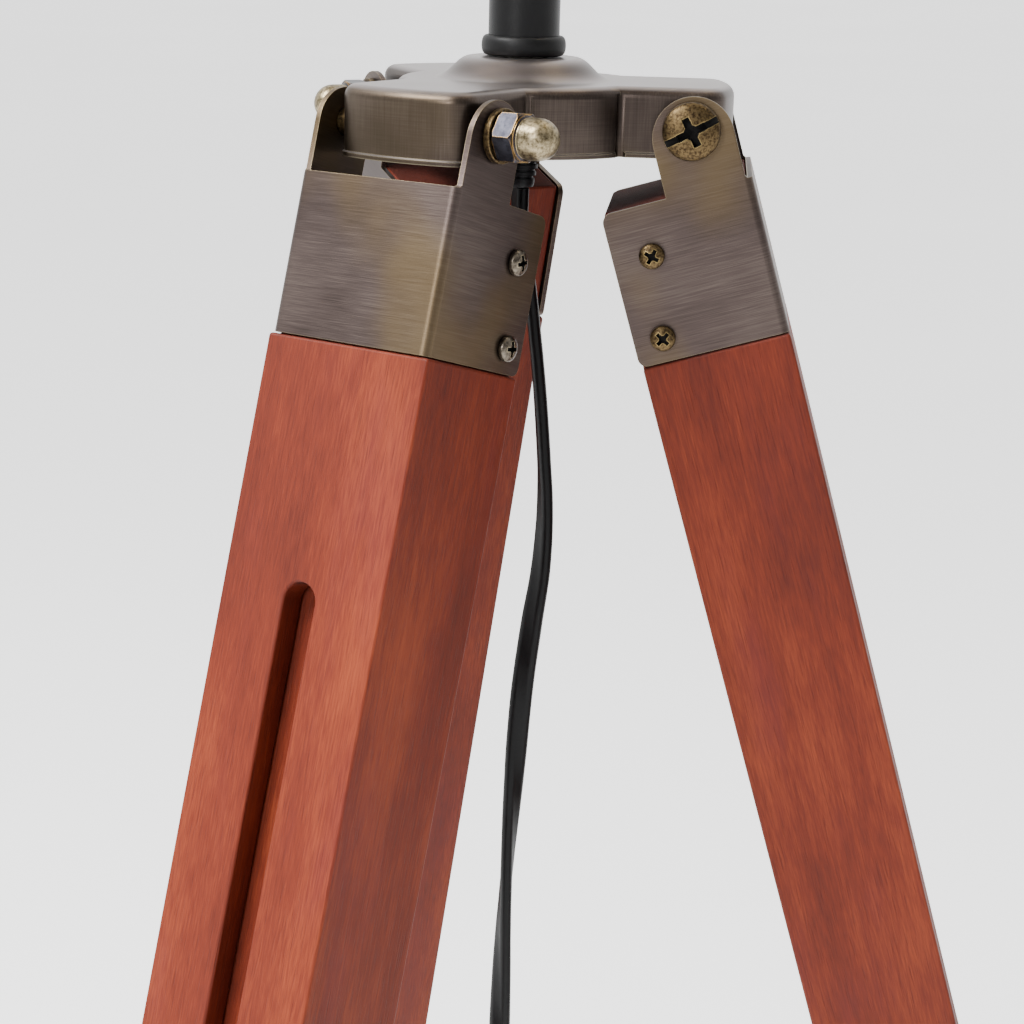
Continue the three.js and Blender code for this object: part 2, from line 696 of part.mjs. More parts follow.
/** The bulb's metal cap. */
function bulbCap() {
  return turned([[0, capBottom], [CAP_RADIUS * 0.4, capBottom], [CAP_RADIUS * 0.6, capBottom + 3],
    [CAP_RADIUS, capBottom + 6], [CAP_RADIUS, capBottom + CAP_HEIGHT], [0, capBottom + CAP_HEIGHT]]);
}

/** The pear-shaped bulb, a thin wall that is open at its neck. */
function bulbGlass() {
  const centre = bulbBottom + BULB_HEIGHT - BULB_RADIUS;
  const wall = (inset) => {
    const neck = CAP_RADIUS - 0.6 - inset;
    const radius = BULB_RADIUS - inset;
    const flank = new THREE.CubicBezierCurve(
      new THREE.Vector2(neck, bulbBottom),
      new THREE.Vector2(neck, bulbBottom + BULB_HEIGHT * 0.22),
      new THREE.Vector2(radius, centre - BULB_RADIUS),
      new THREE.Vector2(radius, centre),
    ).getPoints(6).map((point) => [point.x, point.y]);
    const crown = [1, 2, 3].map((step) => {
      const angle = step * Math.PI / 8;
      return [radius * Math.cos(angle), centre + radius * Math.sin(angle)];
    });
    return [...flank, ...crown, [0, centre + radius]];
  };
  const outer = wall(0);
  const inner = wall(BULB_GLASS).reverse();
  return turned([...outer, ...inner, outer[0]], ROUND + 2);
}

/** The shade's lower wire ring with its fitter and three arms, welded into one piece. */
function shadeSpider() {
  const ringHeight = shadeBottom + WIRE_RADIUS;
  const fitterMiddle = fitterBottom + FITTER / 2;
  const wire = new THREE.TorusGeometry(wireRingRadius, WIRE_RADIUS, 6, FINE)
    .translate(0, 0, ringHeight);
  const arms = [0, 1, 2].map((turn) => {
    const from = new THREE.Vector3(FITTER_RADIUS - 0.6, 0, fitterMiddle);
    const to = new THREE.Vector3(wireRingRadius, 0, ringHeight);
    return rodAlong(new THREE.LineCurve3(from, to), ARM_RADIUS, 1, 6)
      .rotateZ(THREE.MathUtils.degToRad(HEADINGS.right + 60 + turn * 120));
  });
  const fitter = ring(HOLDER_THREAD_RADIUS + GAP, FITTER_RADIUS, fitterBottom,
    fitterBottom + FITTER, FINE);
  return join(fitter, wire, ...arms);
}

addPiece(lamp, 'lampholder', lampholder(), blackPlastic());
addPiece(lamp, 'bulb_cap', bulbCap(), zincSteel());
addPiece(lamp, 'bulb_glass', bulbGlass(), opalGlass());
addPiece(lamp, 'shade_ring',
  ring(HOLDER_THREAD_RADIUS + GAP, SHADE_RING_RADIUS, ringBottom, ringBottom + SHADE_RING, FINE),
  blackPlastic());
addPiece(lamp, 'shade_spider', shadeSpider(), blackSteel());
addPiece(lamp, 'shade_top_ring',
  new THREE.TorusGeometry(wireRingRadius, WIRE_RADIUS, 6, FINE)
    .translate(0, 0, shadeTop - WIRE_RADIUS), blackSteel());
addPiece(lamp, 'shade_fabric',
  ring(SHADE_RADIUS - SHADE_WALL, SHADE_RADIUS, shadeBottom, shadeTop, FINE), linen());

// Cord, foot switch and plug ------------------------------------------------------------------

/** The cord's stretch through a list of points. */
function cordThrough(points, steps) {
  const curve = new THREE.CatmullRomCurve3(points.map((point) => new THREE.Vector3(...point)));
  return rodAlong(curve, CORD_RADIUS, steps);
}

const [switchX, switchY] = SWITCH_CENTRE;
const switchNear = switchY - SWITCH_LENGTH / 2 - GAP;
const switchFar = switchY + SWITCH_LENGTH / 2 + GAP;

// From the gland it bows a little to one side, hangs to the floor and turns back to the switch.
const dropPoints = [
  [0, 0, glandBottom - GAP], [0.2, 0.1, 888], [2.6, 1.8, 873], [4.7, 3.3, 858], [6.2, 4.3, 840],
  [6.7, 4.7, 822], [6.0, 4.2, 806], [4.3, 3.0, 791], [2.7, 1.9, 773], [1.6, 1.1, 750],
  [0.5, 0.4, 722], [0, 0, 690], [-0.8, 0.4, 600], [-0.4, 0.8, 480], [0.4, 0.6, 350],
  [0.4, 0, 220], [0, 0, 110], [0, 0.6, 60], [0, 4, 31], [-0.2, 14, 11], [-0.6, 29, cordRest + 0.9],
  [-4, 43, cordRest], [-12, 56, cordRest], [-21, 66, cordRest], [-25.8, 76, cordRest],
  [switchX, switchNear, cordRest],
];

// From the switch it lies against the coil, which it joins from outside.
const runPoints = [
  [switchX, switchFar, cordRest], [-25.9, 155, cordRest], [-23.6, 176, cordRest],
  [-17.4, 191.5, cordRest], [-10.6, 204.2, cordRest],
];

// From the coil's other side it runs to the plug.
const tailPoints = [
  [72.4, 182, cordRest], [74.5, 173, cordRest + 0.4], [79, 165, cordRest + 2], [83.2, 158, 6],
  [PLUG_REAR[0], PLUG_REAR[1] + 4, PLUG_THICKNESS / 2],
  [PLUG_REAR[0], PLUG_REAR[1] + GAP, PLUG_THICKNESS / 2],
];

/** The coil's outer shape, a flat ring with round edges. */
function cordCoil() {
  const edge = CORD_RADIUS * 0.7;
  return turned([[COIL_INSIDE, edge], [COIL_INSIDE + edge, 0.05], [COIL_OUTSIDE - edge, 0.05],
    [COIL_OUTSIDE, edge], [COIL_OUTSIDE, COIL_HEIGHT - edge], [COIL_OUTSIDE - edge, COIL_HEIGHT],
    [COIL_INSIDE + edge, COIL_HEIGHT], [COIL_INSIDE, COIL_HEIGHT - edge], [COIL_INSIDE, edge]], FINE)
    .translate(COIL_CENTRE[0], COIL_CENTRE[1], 0);
}

/** The foot switch's body, with a well for its button. */
function switchBody() {
  const wellFloor = SWITCH_HEIGHT + BUTTON_PROUD - BUTTON_HEIGHT - BUTTON_TRAVEL - GAP;
  return cut(
    raised(capsule(SWITCH_WIDTH, SWITCH_LENGTH), 0.05, SWITCH_HEIGHT, 8),
    bar(BUTTON_RADIUS + RUN, wellFloor, SWITCH_HEIGHT + 1, FINE),
  ).translate(switchX, switchY, 0);
}

/** The button, which travels down into the well. */
function switchButton() {
  const top = SWITCH_HEIGHT + BUTTON_PROUD;
  return turned([[0, top - BUTTON_HEIGHT], [BUTTON_RADIUS, top - BUTTON_HEIGHT],
    [BUTTON_RADIUS, top - 1], [BUTTON_RADIUS - 1, top], [0, top]], FINE)
    .translate(switchX, switchY, 0);
}

/** A flat two-pin plug, its pins towards -Y. */
function plug() {
  const outline = new THREE.Shape();
  const half = PLUG_WIDTH / 2;
  outline.moveTo(-4, 0);
  outline.lineTo(4, 0);
  outline.lineTo(5.5, -PLUG_LENGTH * 0.3);
  outline.lineTo(half, -PLUG_LENGTH * 0.55);
  outline.lineTo(half, -PLUG_LENGTH);
  outline.lineTo(-half, -PLUG_LENGTH);
  outline.lineTo(-half, -PLUG_LENGTH * 0.55);
  outline.lineTo(-5.5, -PLUG_LENGTH * 0.3);
  outline.closePath();
  const pins = [-1, 1].map((side) => crossBar(PIN_RADIUS, -PLUG_LENGTH - PIN_LENGTH,
    -PLUG_LENGTH + 1, SMALL).translate(side * PIN_SPACING / 2, 0, PLUG_THICKNESS / 2));
  return join(raised(outline, 0.05, PLUG_THICKNESS), ...pins)
    .translate(PLUG_REAR[0], PLUG_REAR[1], 0);
}

addPiece(lamp, 'cord_drop', cordThrough(dropPoints, 60), blackPlastic());
addPiece(lamp, 'cord_run', cordThrough(runPoints, 6), blackPlastic());
addPiece(lamp, 'cord_tail', cordThrough(tailPoints, 5), blackPlastic());
addPiece(lamp, 'cord_coil', cordCoil(), blackPlastic());
addPiece(lamp, 'foot_switch_body', switchBody(), blackPlastic());
addPiece(lamp, 'foot_switch_button', switchButton(), blackPlastic());
addPiece(lamp, 'plug', plug(), blackPlastic());

export default lamp;
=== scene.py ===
"""The visible surface of a tripod floor lamp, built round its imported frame.

Three two-piece wooden legs hinge on a cast hub through folded brackets. A stem on the hub carries
the lampholder, the bulb and a drum shade, and a flat cord hangs from the hub to the floor.
Lengths are in metres. In a leg's own frame +x points outwards, +y sideways and +z up the leg,
with the pivot bolt at the origin.
"""

import json
import logging
import math
from dataclasses import dataclass
from enum import Enum
from typing import Iterable, Optional, Sequence, Union

import bpy
from mathutils import Matrix, Vector

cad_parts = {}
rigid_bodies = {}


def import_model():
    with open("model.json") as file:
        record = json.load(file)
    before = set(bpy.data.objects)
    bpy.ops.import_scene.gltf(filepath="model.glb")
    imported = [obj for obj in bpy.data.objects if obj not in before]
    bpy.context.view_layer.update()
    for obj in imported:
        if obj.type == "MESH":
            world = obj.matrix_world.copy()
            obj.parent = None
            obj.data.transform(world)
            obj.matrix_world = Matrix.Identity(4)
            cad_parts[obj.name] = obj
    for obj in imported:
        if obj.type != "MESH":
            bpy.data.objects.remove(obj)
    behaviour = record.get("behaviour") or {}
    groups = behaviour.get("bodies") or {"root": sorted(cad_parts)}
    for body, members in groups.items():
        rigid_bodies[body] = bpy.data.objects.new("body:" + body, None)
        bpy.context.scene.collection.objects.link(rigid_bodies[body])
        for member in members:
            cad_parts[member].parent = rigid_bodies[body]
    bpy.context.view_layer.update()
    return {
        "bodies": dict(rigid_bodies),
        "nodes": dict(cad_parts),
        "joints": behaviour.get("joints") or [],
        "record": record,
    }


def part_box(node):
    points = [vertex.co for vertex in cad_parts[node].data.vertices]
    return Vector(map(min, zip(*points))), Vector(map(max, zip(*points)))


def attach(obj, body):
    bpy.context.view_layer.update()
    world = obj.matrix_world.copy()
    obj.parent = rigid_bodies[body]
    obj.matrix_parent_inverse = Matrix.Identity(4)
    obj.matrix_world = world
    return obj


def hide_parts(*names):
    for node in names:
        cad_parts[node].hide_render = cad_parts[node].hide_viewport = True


log = logging.getLogger("floor_lamp")

MM = 0.001
Point = tuple[float, ...]

# Places on the floor and on a leg, in millimetres from the stem's axis or the pivot.
SWITCH_CENTRE = (-26.0, 115.0)
COIL_CENTRE = (28.0, 182.0)
PLUG_REAR = (84.0, 149.0, 6.8)
STUD_DOWN = 360.0
BOLT_BORE = 3.3                     # radius, in millimetres


# ---------------------------------------------------------------------------------------------
# Finishes
# ---------------------------------------------------------------------------------------------


def colour(code: str) -> tuple[float, float, float, float]:
    """Turns a six-digit colour code into linear red, green, blue and alpha.

    Args:
        code: The colour, such as "8c3f2a".

    Returns:
        The four linear channels.
    """
    channels = [int(code[i:i + 2], 16) / 255 for i in (0, 2, 4)]
    linear = [c / 12.92 if c <= 0.04045 else ((c + 0.055) / 1.055) ** 2.4 for c in channels]
    return (*linear, 1.0)


class Value:
    """A number that varies over a surface, which can be used in sums."""

    def __init__(self, paint: "Paint", socket: bpy.types.NodeSocket) -> None:
        """Wraps an output socket of a paint's node tree."""
        self.paint = paint
        self.socket = socket

    def maths(self, operation: str, *others: Union["Value", float], swap: bool = False) -> "Value":
        """Adds one Math node.

        Args:
            operation: The Math node's operation.
            others: The other operands.
            swap: Whether this value comes after the others.

        Returns:
            The result.
        """
        operands = [*others, self] if swap else [self, *others]
        made = self.paint.node("ShaderNodeMath", {"operation": operation}, dict(enumerate(operands)))
        return Value(self.paint, made.outputs[0])

    def __add__(self, other: Union["Value", float]) -> "Value":
        """Returns self + other."""
        return self.maths("ADD", other)

    def __sub__(self, other: Union["Value", float]) -> "Value":
        """Returns self - other."""
        return self.maths("SUBTRACT", other)

    def __rsub__(self, other: float) -> "Value":
        """Returns other - self."""
        return self.maths("SUBTRACT", other, swap=True)

    def __mul__(self, other: Union["Value", float]) -> "Value":
        """Returns self * other."""
        return self.maths("MULTIPLY", other)

    __radd__ = __add__
    __rmul__ = __mul__

    def step(self, low: float, high: float) -> "Value":
        """Spreads the span from low to high smoothly over 0 to 1.

        Args:
            low: The value that becomes 0.
            high: The value that becomes 1.

        Returns:
            The spread value.
        """
        made = self.paint.node(
            "ShaderNodeMapRange",
            {"interpolation_type": "SMOOTHSTEP"},
            {"Value": self, "From Min": low, "From Max": high},
        )
        return Value(self.paint, made.outputs[0])


class Paint:
    """A material's node tree, built a node at a time."""

    def __init__(self, name: str, **constants: object) -> None:
        """Starts a material.

        Args:
            name: The material's name.
            constants: Values for the main shader's sockets, with _ for each space.
        """
        self.material = bpy.data.materials.new(name)
        self.material.use_nodes = True
        self.tree = self.material.node_tree
        self.shader = self.tree.nodes["Principled BSDF"]
        for key, value in constants.items():
            self.shader.inputs[key.replace("_", " ").title().replace("Ior", "IOR")].default_value = value

    def node(self, kind: str, settings: dict, inputs: dict) -> bpy.types.Node:
        """Adds a node.

        Args:
            kind: The node's type.
            settings: Its attributes, set first; "stops" fills a colour ramp.
            inputs: Values or links, by socket name or number.

        Returns:
            The new node.
        """
        made = self.tree.nodes.new(kind)
        for key, value in settings.items():
            if key == "stops":
                self.fill_ramp(made.color_ramp, value)
            else:
                setattr(made, key, value)
        for key, value in inputs.items():
            if isinstance(value, Value):
                value = value.socket
            if isinstance(value, bpy.types.NodeSocket):
                self.tree.links.new(value, made.inputs[key])
            else:
                made.inputs[key].default_value = value
        return made

    @staticmethod
    def fill_ramp(ramp: bpy.types.ColorRamp, stops: Sequence[tuple[float, str]]) -> None:
        """Sets a colour ramp's stops, given as (place, colour code).

        Args:
            ramp: The ramp.
            stops: Its stops.
        """
        while len(ramp.elements) < len(stops):
            ramp.elements.new(0.5)
        for element, (place, code) in zip(ramp.elements, stops):
            element.position = place
            element.color = colour(code)

    def place(self, frame: Optional[Matrix] = None) -> bpy.types.NodeSocket:
        """Gives the point on the piece, in the row frame or in a frame of its own.

        Args:
            frame: The frame that the pattern is laid out in.

        Returns:
            A vector socket.
        """
        point = self.node("ShaderNodeTexCoord", {}, {}).outputs["Object"]
        if frame is None:
            return point
        spot, turn, _ = frame.decompose()
        return self.node(
            "ShaderNodeMapping",
            {"vector_type": "TEXTURE"},
            {"Vector": point, "Location": spot, "Rotation": turn.to_euler("XYZ")},
        ).outputs[0]

    def parts(self, vector: bpy.types.NodeSocket) -> tuple[Value, Value, Value]:
        """Splits a vector into its three numbers."""
        made = self.node("ShaderNodeSeparateXYZ", {}, {0: vector})
        return tuple(Value(self, socket) for socket in made.outputs)

    def noise(self, vector: bpy.types.NodeSocket, scale: Point, detail: float = 2.0,
              rough: float = 0.5) -> Value:
        """Noise that can be stretched.

        Args:
            vector: The point.
            scale: Waves per metre along each axis.
            detail: How many finer layers there are.
            rough: How strong the finer layers are.

        Returns:
            A value from 0 to 1.
        """
        spread = self.node("ShaderNodeVectorMath", {"operation": "MULTIPLY"}, {0: vector, 1: scale})
        made = self.node("ShaderNodeTexNoise", {}, {
            "Vector": spread.outputs[0], "Scale": 1.0, "Detail": detail, "Roughness": rough})
        return Value(self, made.outputs[0])

    def cells(self, vector: bpy.types.NodeSocket, scale: float) -> Value:
        """Distance to the nearest of many scattered points, in cells."""
        made = self.node("ShaderNodeTexVoronoi", {}, {"Vector": vector, "Scale": scale})
        return Value(self, made.outputs["Distance"])

    def facing(self, way: Vector, low: float, high: float) -> Value:
        """1 on faces that look along a direction or against it, and 0 on the others.

        Args:
            way: The direction.
            low: The cosine where it starts.
            high: The cosine where it is whole.

        Returns:
            A value from 0 to 1.
        """
        normal = self.node("ShaderNodeTexCoord", {}, {}).outputs["Normal"]
        made = self.node("ShaderNodeVectorMath", {"operation": "DOT_PRODUCT"}, {0: normal, 1: way})
        return Value(self, made.outputs["Value"]).maths("ABSOLUTE").step(low, high)

    def worn_edges(self, radius: float) -> Value:
        """1 where the surface turns sharply within a radius, and 0 on flats.

        Args:
            radius: How far the wear reaches.

        Returns:
            A value from 0 to 1.
        """
        rounded = self.node("ShaderNodeBevel", {"samples": 6}, {"Radius": radius}).outputs[0]
        flat = self.node("ShaderNodeNewGeometry", {}, {}).outputs["Normal"]
        made = self.node("ShaderNodeVectorMath", {"operation": "DOT_PRODUCT"}, {0: rounded, 1: flat})
        return (1.0 - Value(self, made.outputs["Value"])).step(0.01, 0.16)

    def blend(self, amount: Union[Value, float], first: object, second: object) -> bpy.types.NodeSocket:
        """Mixes two colours.

        Args:
            amount: How much of the second shows.
            first: A colour code or a socket.
            second: A colour code or a socket.

        Returns:
            The mixed colour.
        """
        sides = [colour(side) if isinstance(side, str) else side for side in (first, second)]
        return self.node("ShaderNodeMix", {"data_type": "RGBA"},
                         {0: amount, 6: sides[0], 7: sides[1]}).outputs[2]

    def ramp(self, value: Value, stops: Sequence[tuple[float, str]]) -> bpy.types.NodeSocket:
        """Colours a value by stops of (place, colour code)."""
        return self.node("ShaderNodeValToRGB", {"stops": stops}, {0: value}).outputs[0]

    def finish(self, base: object, rough: Optional[Value] = None, height: Optional[Value] = None,
               depth: float = 0.0) -> bpy.types.Material:
        """Links what varies to the main shader.

        Args:
            base: The colour socket.
            rough: The roughness.
            height: The relief, from 0 to 1.
            depth: How deep the relief is.

        Returns:
            The material.
        """
        self.tree.links.new(base, self.shader.inputs["Base Color"])
        if rough is not None:
            self.tree.links.new(rough.socket, self.shader.inputs["Roughness"])
        if height is not None:
            bump = self.node("ShaderNodeBump", {}, {"Height": height, "Distance": depth})
            self.tree.links.new(bump.outputs[0], self.shader.inputs["Normal"])
        return self.material


@dataclass(frozen=True)
class StainedWood:
    """Red-brown stain over straight grain, blotchy, with fine dark pores."""

    name: str
    deep: str = "3c1008"
    middle: str = "5c1f0e"
    light: str = "7c351a"

    def made(self, frame: Matrix) -> bpy.types.Material:
        """Builds it with the grain along the frame's Z axis.

        Args:
            frame: The leg's frame.

        Returns:
            The material.
        """
        paint = Paint(self.name, specular_ior_level=0.18)
        at = paint.place(frame)
        blotch = paint.noise(at, (34, 34, 11), 4, 0.6)
        figure = paint.noise(at, (170, 170, 4), 2, 0.5)
        fibre = paint.noise(at, (2300, 2300, 170), 3, 0.6)
        pores = paint.noise(at, (2800, 2800, 120), 1, 0.4).step(0.6, 0.74)
        tone = 0.5 * blotch + 0.18 * figure + 0.32 * fibre
        base = paint.ramp(tone, [(0.32, self.deep), (0.5, self.middle), (0.68, self.light)])
        violet = paint.noise(at, (60, 60, 16), 3, 0.55).step(0.5, 0.72)
        base = paint.blend(0.18 * violet, base, "5a2028")
        base = paint.blend(0.3 * pores, base, self.deep)
        sawn = paint.facing(frame.col[2].to_3d(), 0.75, 0.95)
        base = paint.blend(0.75 * sawn, base, "2c100a")
        rough = 0.46 + 0.2 * fibre + 0.34 * sawn
        return paint.finish(base, rough, fibre - 0.6 * pores, 0.00007)


@dataclass(frozen=True)
class BrushedPlate:
    """Antique plating on sheet metal, brushed across the leg, with warm patches that are partly its own
    tone and partly a painted yellowish reflection.
    """

    name: str
    dark: str = "3c3431"
    middle: str = "4d4340"
    light: str = "615751"

    def made(self, frame: Matrix) -> bpy.types.Material:
        """Builds it with the brushing square to the frame's Z axis.

        Args:
            frame: The leg's frame.

        Returns:
            The material.
        """
        paint = Paint(self.name, metallic=1.0)
        at = paint.place(frame)
        cloud = paint.noise(at, (36, 36, 50), 2, 0.5)
        bands = paint.noise(at, (40, 40, 1500), 2, 0.6)
        lines = paint.noise(at, (110, 110, 5200), 2, 0.6)
        tone = 0.42 * cloud + 0.14 * bands + 0.44 * lines
        base = paint.ramp(tone, [(0.3, self.dark), (0.5, self.middle), (0.7, self.light)])
        # warm patches: partly a random tone of the plating and partly a painted yellowish reflection on the
        # brackets
        warm = paint.noise(at, (28, 28, 22), 2, 0.5).step(0.46, 0.66)
        base = paint.blend(0.45 * warm, base, "655430")
        base = paint.blend(0.45 * paint.worn_edges(0.35 * MM), base, "a39474")
        rough = 0.34 + 0.1 * cloud + 0.12 * lines
        return paint.finish(base, rough, 0.4 * bands + 0.6 * lines, 0.00003)


@dataclass(frozen=True)
class CastPewter:
    """Antique pewter plating on a casting, linished up its walls and worn bright at its edges, with a
    painted highlight on faces that look straight up or down.
    """

    name: str
    dark: str = "302a27"
    middle: str = "3f3733"
    light: str = "524943"

    def made(self) -> bpy.types.Material:
        """Builds it in the row frame.

        Returns:
            The material.
        """
        paint = Paint(self.name, metallic=1.0)
        at = paint.place()
        cloud = paint.noise(at, (40, 40, 40), 3, 0.5)
        upright = paint.noise(at, (3000, 3000, 90), 2, 0.6)
        level = paint.noise(at, (90, 90, 4200), 1, 0.5)
        tone = 0.62 * cloud + 0.24 * upright + 0.14 * level
        base = paint.ramp(tone, [(0.33, self.dark), (0.5, self.middle), (0.67, self.light)])
        warm = paint.noise(at, (30, 30, 30), 2, 0.5).step(0.48, 0.68)
        base = paint.blend(0.3 * warm, base, "4f442e")
        # painted highlight: faces that look up or down are mixed towards pale grey, standing in for the
        # bright light from overhead
        base = paint.blend(0.75 * paint.facing(Vector((0, 0, 1)), 0.6, 0.99), base, "989190")
        base = paint.blend(0.4 * paint.worn_edges(0.5 * MM), base, "b5aa8e")
        rough = 0.26 + 0.14 * cloud + 0.08 * upright
        return paint.finish(base, rough, 0.6 * upright + 0.4 * level, 0.00002)


@dataclass(frozen=True)
class AgedMetal:
    """Plating with a mottled patina, worn through along its edges."""

    name: str
    dark: str
    middle: str
    worn: str
    mottle: float = 700.0
    rough: float = 0.3

    def made(self) -> bpy.types.Material:
        """Builds it in the row frame.

        Returns:
            The material.
        """
        paint = Paint(self.name, metallic=1.0)
        at = paint.place()
        patch = paint.noise(at, (self.mottle,) * 3, 4, 0.65)
        speck = paint.cells(at, 3.2 * self.mottle).step(0.16, 0.3)
        base = paint.ramp(patch, [(0.36, self.dark), (0.58, self.middle)])
        base = paint.blend(0.35 * (1.0 - speck), base, self.dark)
        base = paint.blend(paint.worn_edges(0.45 * MM), base, self.worn)
        return paint.finish(base, self.rough + 0.22 * patch, patch, 0.00005)


@dataclass(frozen=True)
class BlackCoat:
    """A dark coat, moulded or sprayed, with a fine grain."""

    name: str
    base: str = "0e0e10"
    scuff: str = "2a2a2c"
    rough: float = 0.42
    grain: float = 2600.0
    gleam: float = 0.22

    def made(self) -> bpy.types.Material:
        """Builds it in the row frame.

        Returns:
            The material.
        """
        paint = Paint(self.name, specular_ior_level=self.gleam)
        at = paint.place()
        cloud = paint.noise(at, (140,) * 3, 3, 0.55)
        grain = paint.noise(at, (self.grain,) * 3, 2, 0.5)
        base = paint.blend(0.25 * cloud.step(0.42, 0.7), self.base, self.scuff)
        return paint.finish(base, self.rough + 0.14 * cloud + 0.08 * grain, grain, 0.00003)


@dataclass(frozen=True)
class Linen:
    """Plain weave wrapped round an upright drum, with slubs."""

    name: str
    radius: float
    thread: float = 0.7 * MM

    def made(self) -> bpy.types.Material:
        """Builds it with the weft round the stem and the warp upright.

        Returns:
            The material.
        """
        paint = Paint(self.name, sheen_weight=0.25, sheen_roughness=0.5)
        at = paint.place()
        x, y, z = paint.parts(at)
        turn = 2 * math.pi / self.thread
        across = x.maths("ARCTAN2", y, swap=True) * (self.radius * turn)
        warp = across.maths("SINE")
        weft = (z * turn).maths("SINE")
        weave = 0.25 * (warp + weft) + 0.5
        slub = paint.noise(at, (9, 9, 1300), 2, 0.6)
        streak = paint.noise(at, (900, 900, 7), 2, 0.6)
        tone = 0.3 * weave + 0.4 * slub + 0.3 * streak
        base = paint.ramp(tone, [(0.34, "cbbd9f"), (0.5, "e6dcc6"), (0.66, "f3ecdc")])
        return paint.finish(base, 0.78 + 0.16 * slub, weave + 0.5 * slub, 0.00018)


@dataclass(frozen=True)
class OpalGlass:
    """White glass that glows a little through."""

    name: str

    def made(self) -> bpy.types.Material:
        """Builds it in the row frame.

        Returns:
            The material.
        """
        paint = Paint(self.name, transmission_weight=0.35, ior=1.45, coat_weight=0.4,
                      subsurface_weight=0.3)
        at = paint.place()
        cloud = paint.noise(at, (60,) * 3, 2, 0.5)
        base = paint.ramp(cloud, [(0.3, "efe9dc"), (0.7, "fbf8f0")])
        return paint.finish(base, 0.12 + 0.1 * cloud, cloud, 0.00002)


# ---------------------------------------------------------------------------------------------
# Bench tools
# ---------------------------------------------------------------------------------------------


class Body(Enum):
    """The bodies that are not part of one leg."""

    HEAD = "head"
    BUTTON = "foot_switch_button"


def metres(points: Iterable[Point]) -> list[Point]:
    """Turns points from millimetres into metres."""
    return [tuple(number * MM for number in point) for point in points]


def spun(angle: float, axis: str) -> Matrix:
    """A turn by an angle in degrees round an axis."""
    return Matrix.Rotation(math.radians(angle), 4, axis)


def shift(x: float, y: float, z: float) -> Matrix:
    """A move, in millimetres."""
    return Matrix.Translation((x * MM, y * MM, z * MM))


def only(piece: bpy.types.Object) -> None:
    """Makes one object the only selected and active one.

    Args:
        piece: The object.
    """
    bpy.ops.object.select_all(action="DESELECT")
    piece.select_set(True)
    bpy.context.view_layer.objects.active = piece


def fresh(name: str) -> bpy.types.Object:
    """Names the object just added, puts its place into its mesh and returns it.

    Args:
        name: The object's name.

    Returns:
        The object.
    """
    piece = bpy.context.object
    piece.name = name
    only(piece)
    bpy.ops.object.transform_apply(location=True, rotation=True, scale=True)
    return piece


def clean(piece: bpy.types.Object, merge: float = 1e-6) -> bpy.types.Object:
    """Merges doubles and points the faces outwards.

    Args:
        piece: The piece.
        merge: How close doubles are.

    Returns:
        The piece.
    """
    only(piece)
    bpy.ops.object.mode_set(mode="EDIT")
    bpy.ops.mesh.select_all(action="SELECT")
    bpy.ops.mesh.remove_doubles(threshold=merge)
    bpy.ops.mesh.normals_make_consistent(inside=False)
    bpy.ops.object.mode_set(mode="OBJECT")
    return piece


def traced(name: str, points: Sequence[Vector]) -> bpy.types.Object:
    """Draws a chain of edges, one extruded point after another, and stays in edit mode.

    Args:
        name: The object's name.
        points: The chain's points.

    Returns:
        The object, in edit mode with its last point selected.
    """
    bpy.ops.object.select_all(action="DESELECT")
    bpy.ops.mesh.primitive_plane_add(size=MM, location=points[0])
    piece = fresh(name)
    bpy.ops.object.mode_set(mode="EDIT")
    bpy.ops.mesh.select_mode(type="VERT")
    bpy.ops.mesh.select_all(action="SELECT")
    bpy.ops.mesh.merge(type="CENTER")
    for before, after in zip(points, points[1:]):
        bpy.ops.mesh.extrude_region_move(TRANSFORM_OT_translate={"value": after - before})
    return piece


def turned(name: str, profile: Sequence[Point], sides: int = 64) -> bpy.types.Object:
    """Spins a profile round Z.

    Args:
        name: The object's name.
        profile: (radius, height) points.
        sides: Steps in a full turn.

    Returns:
        The closed piece.
    """
    piece = traced(name, [Vector((radius, 0, height)) for radius, height in profile])
    bpy.ops.mesh.select_all(action="SELECT")
    bpy.ops.mesh.spin(steps=sides, angle=2 * math.pi, center=(0, 0, 0), axis=(0, 0, 1))
    bpy.ops.object.mode_set(mode="OBJECT")
    return clean(piece)


def layered(name: str, outline: Sequence[Point], base: float,
            layers: Iterable[tuple[float, float]]) -> bpy.types.Object:
    """Raises an outline in layers, each drawn in and lifted from the last.

    Args:
        name: The object's name.
        outline: (x, y) points, anticlockwise.
        base: The bottom's height.
        layers: (inset, rise) of each layer.

    Returns:
        The closed piece.
    """
    piece = traced(name, [Vector((x, y, base)) for x, y in outline])
    bpy.ops.mesh.select_all(action="SELECT")
    bpy.ops.mesh.edge_face_add()
    bpy.ops.mesh.normals_make_consistent(inside=False)
    bpy.ops.mesh.select_mode(type="FACE")
    bpy.ops.mesh.select_all(action="SELECT")
    first, *rest = layers
    bpy.ops.mesh.extrude_region_move(TRANSFORM_OT_translate={"value": (0, 0, first[1])})
    for inset, rise in rest:
        if inset:
            bpy.ops.mesh.inset(thickness=inset, depth=0, use_even_offset=True)
            bpy.ops.transform.translate(value=(0, 0, rise))
        else:
            bpy.ops.mesh.extrude_region_move(TRANSFORM_OT_translate={"value": (0, 0, rise)})
    bpy.ops.object.mode_set(mode="OBJECT")
    return clean(piece, 1e-7)


def rounded_layers(radius: float, steps: int = 4) -> list[tuple[float, float]]:
    """The layers of a quarter-round edge.

    Args:
        radius: The edge's radius.
        steps: How many layers there are.

    Returns:
        (inset, rise) of each layer.
    """
    angles = [math.pi / 2 * i / steps for i in range(steps + 1)]
    return [(radius * (math.cos(a) - math.cos(b)), radius * (math.sin(b) - math.sin(a)))
            for a, b in zip(angles, angles[1:])]


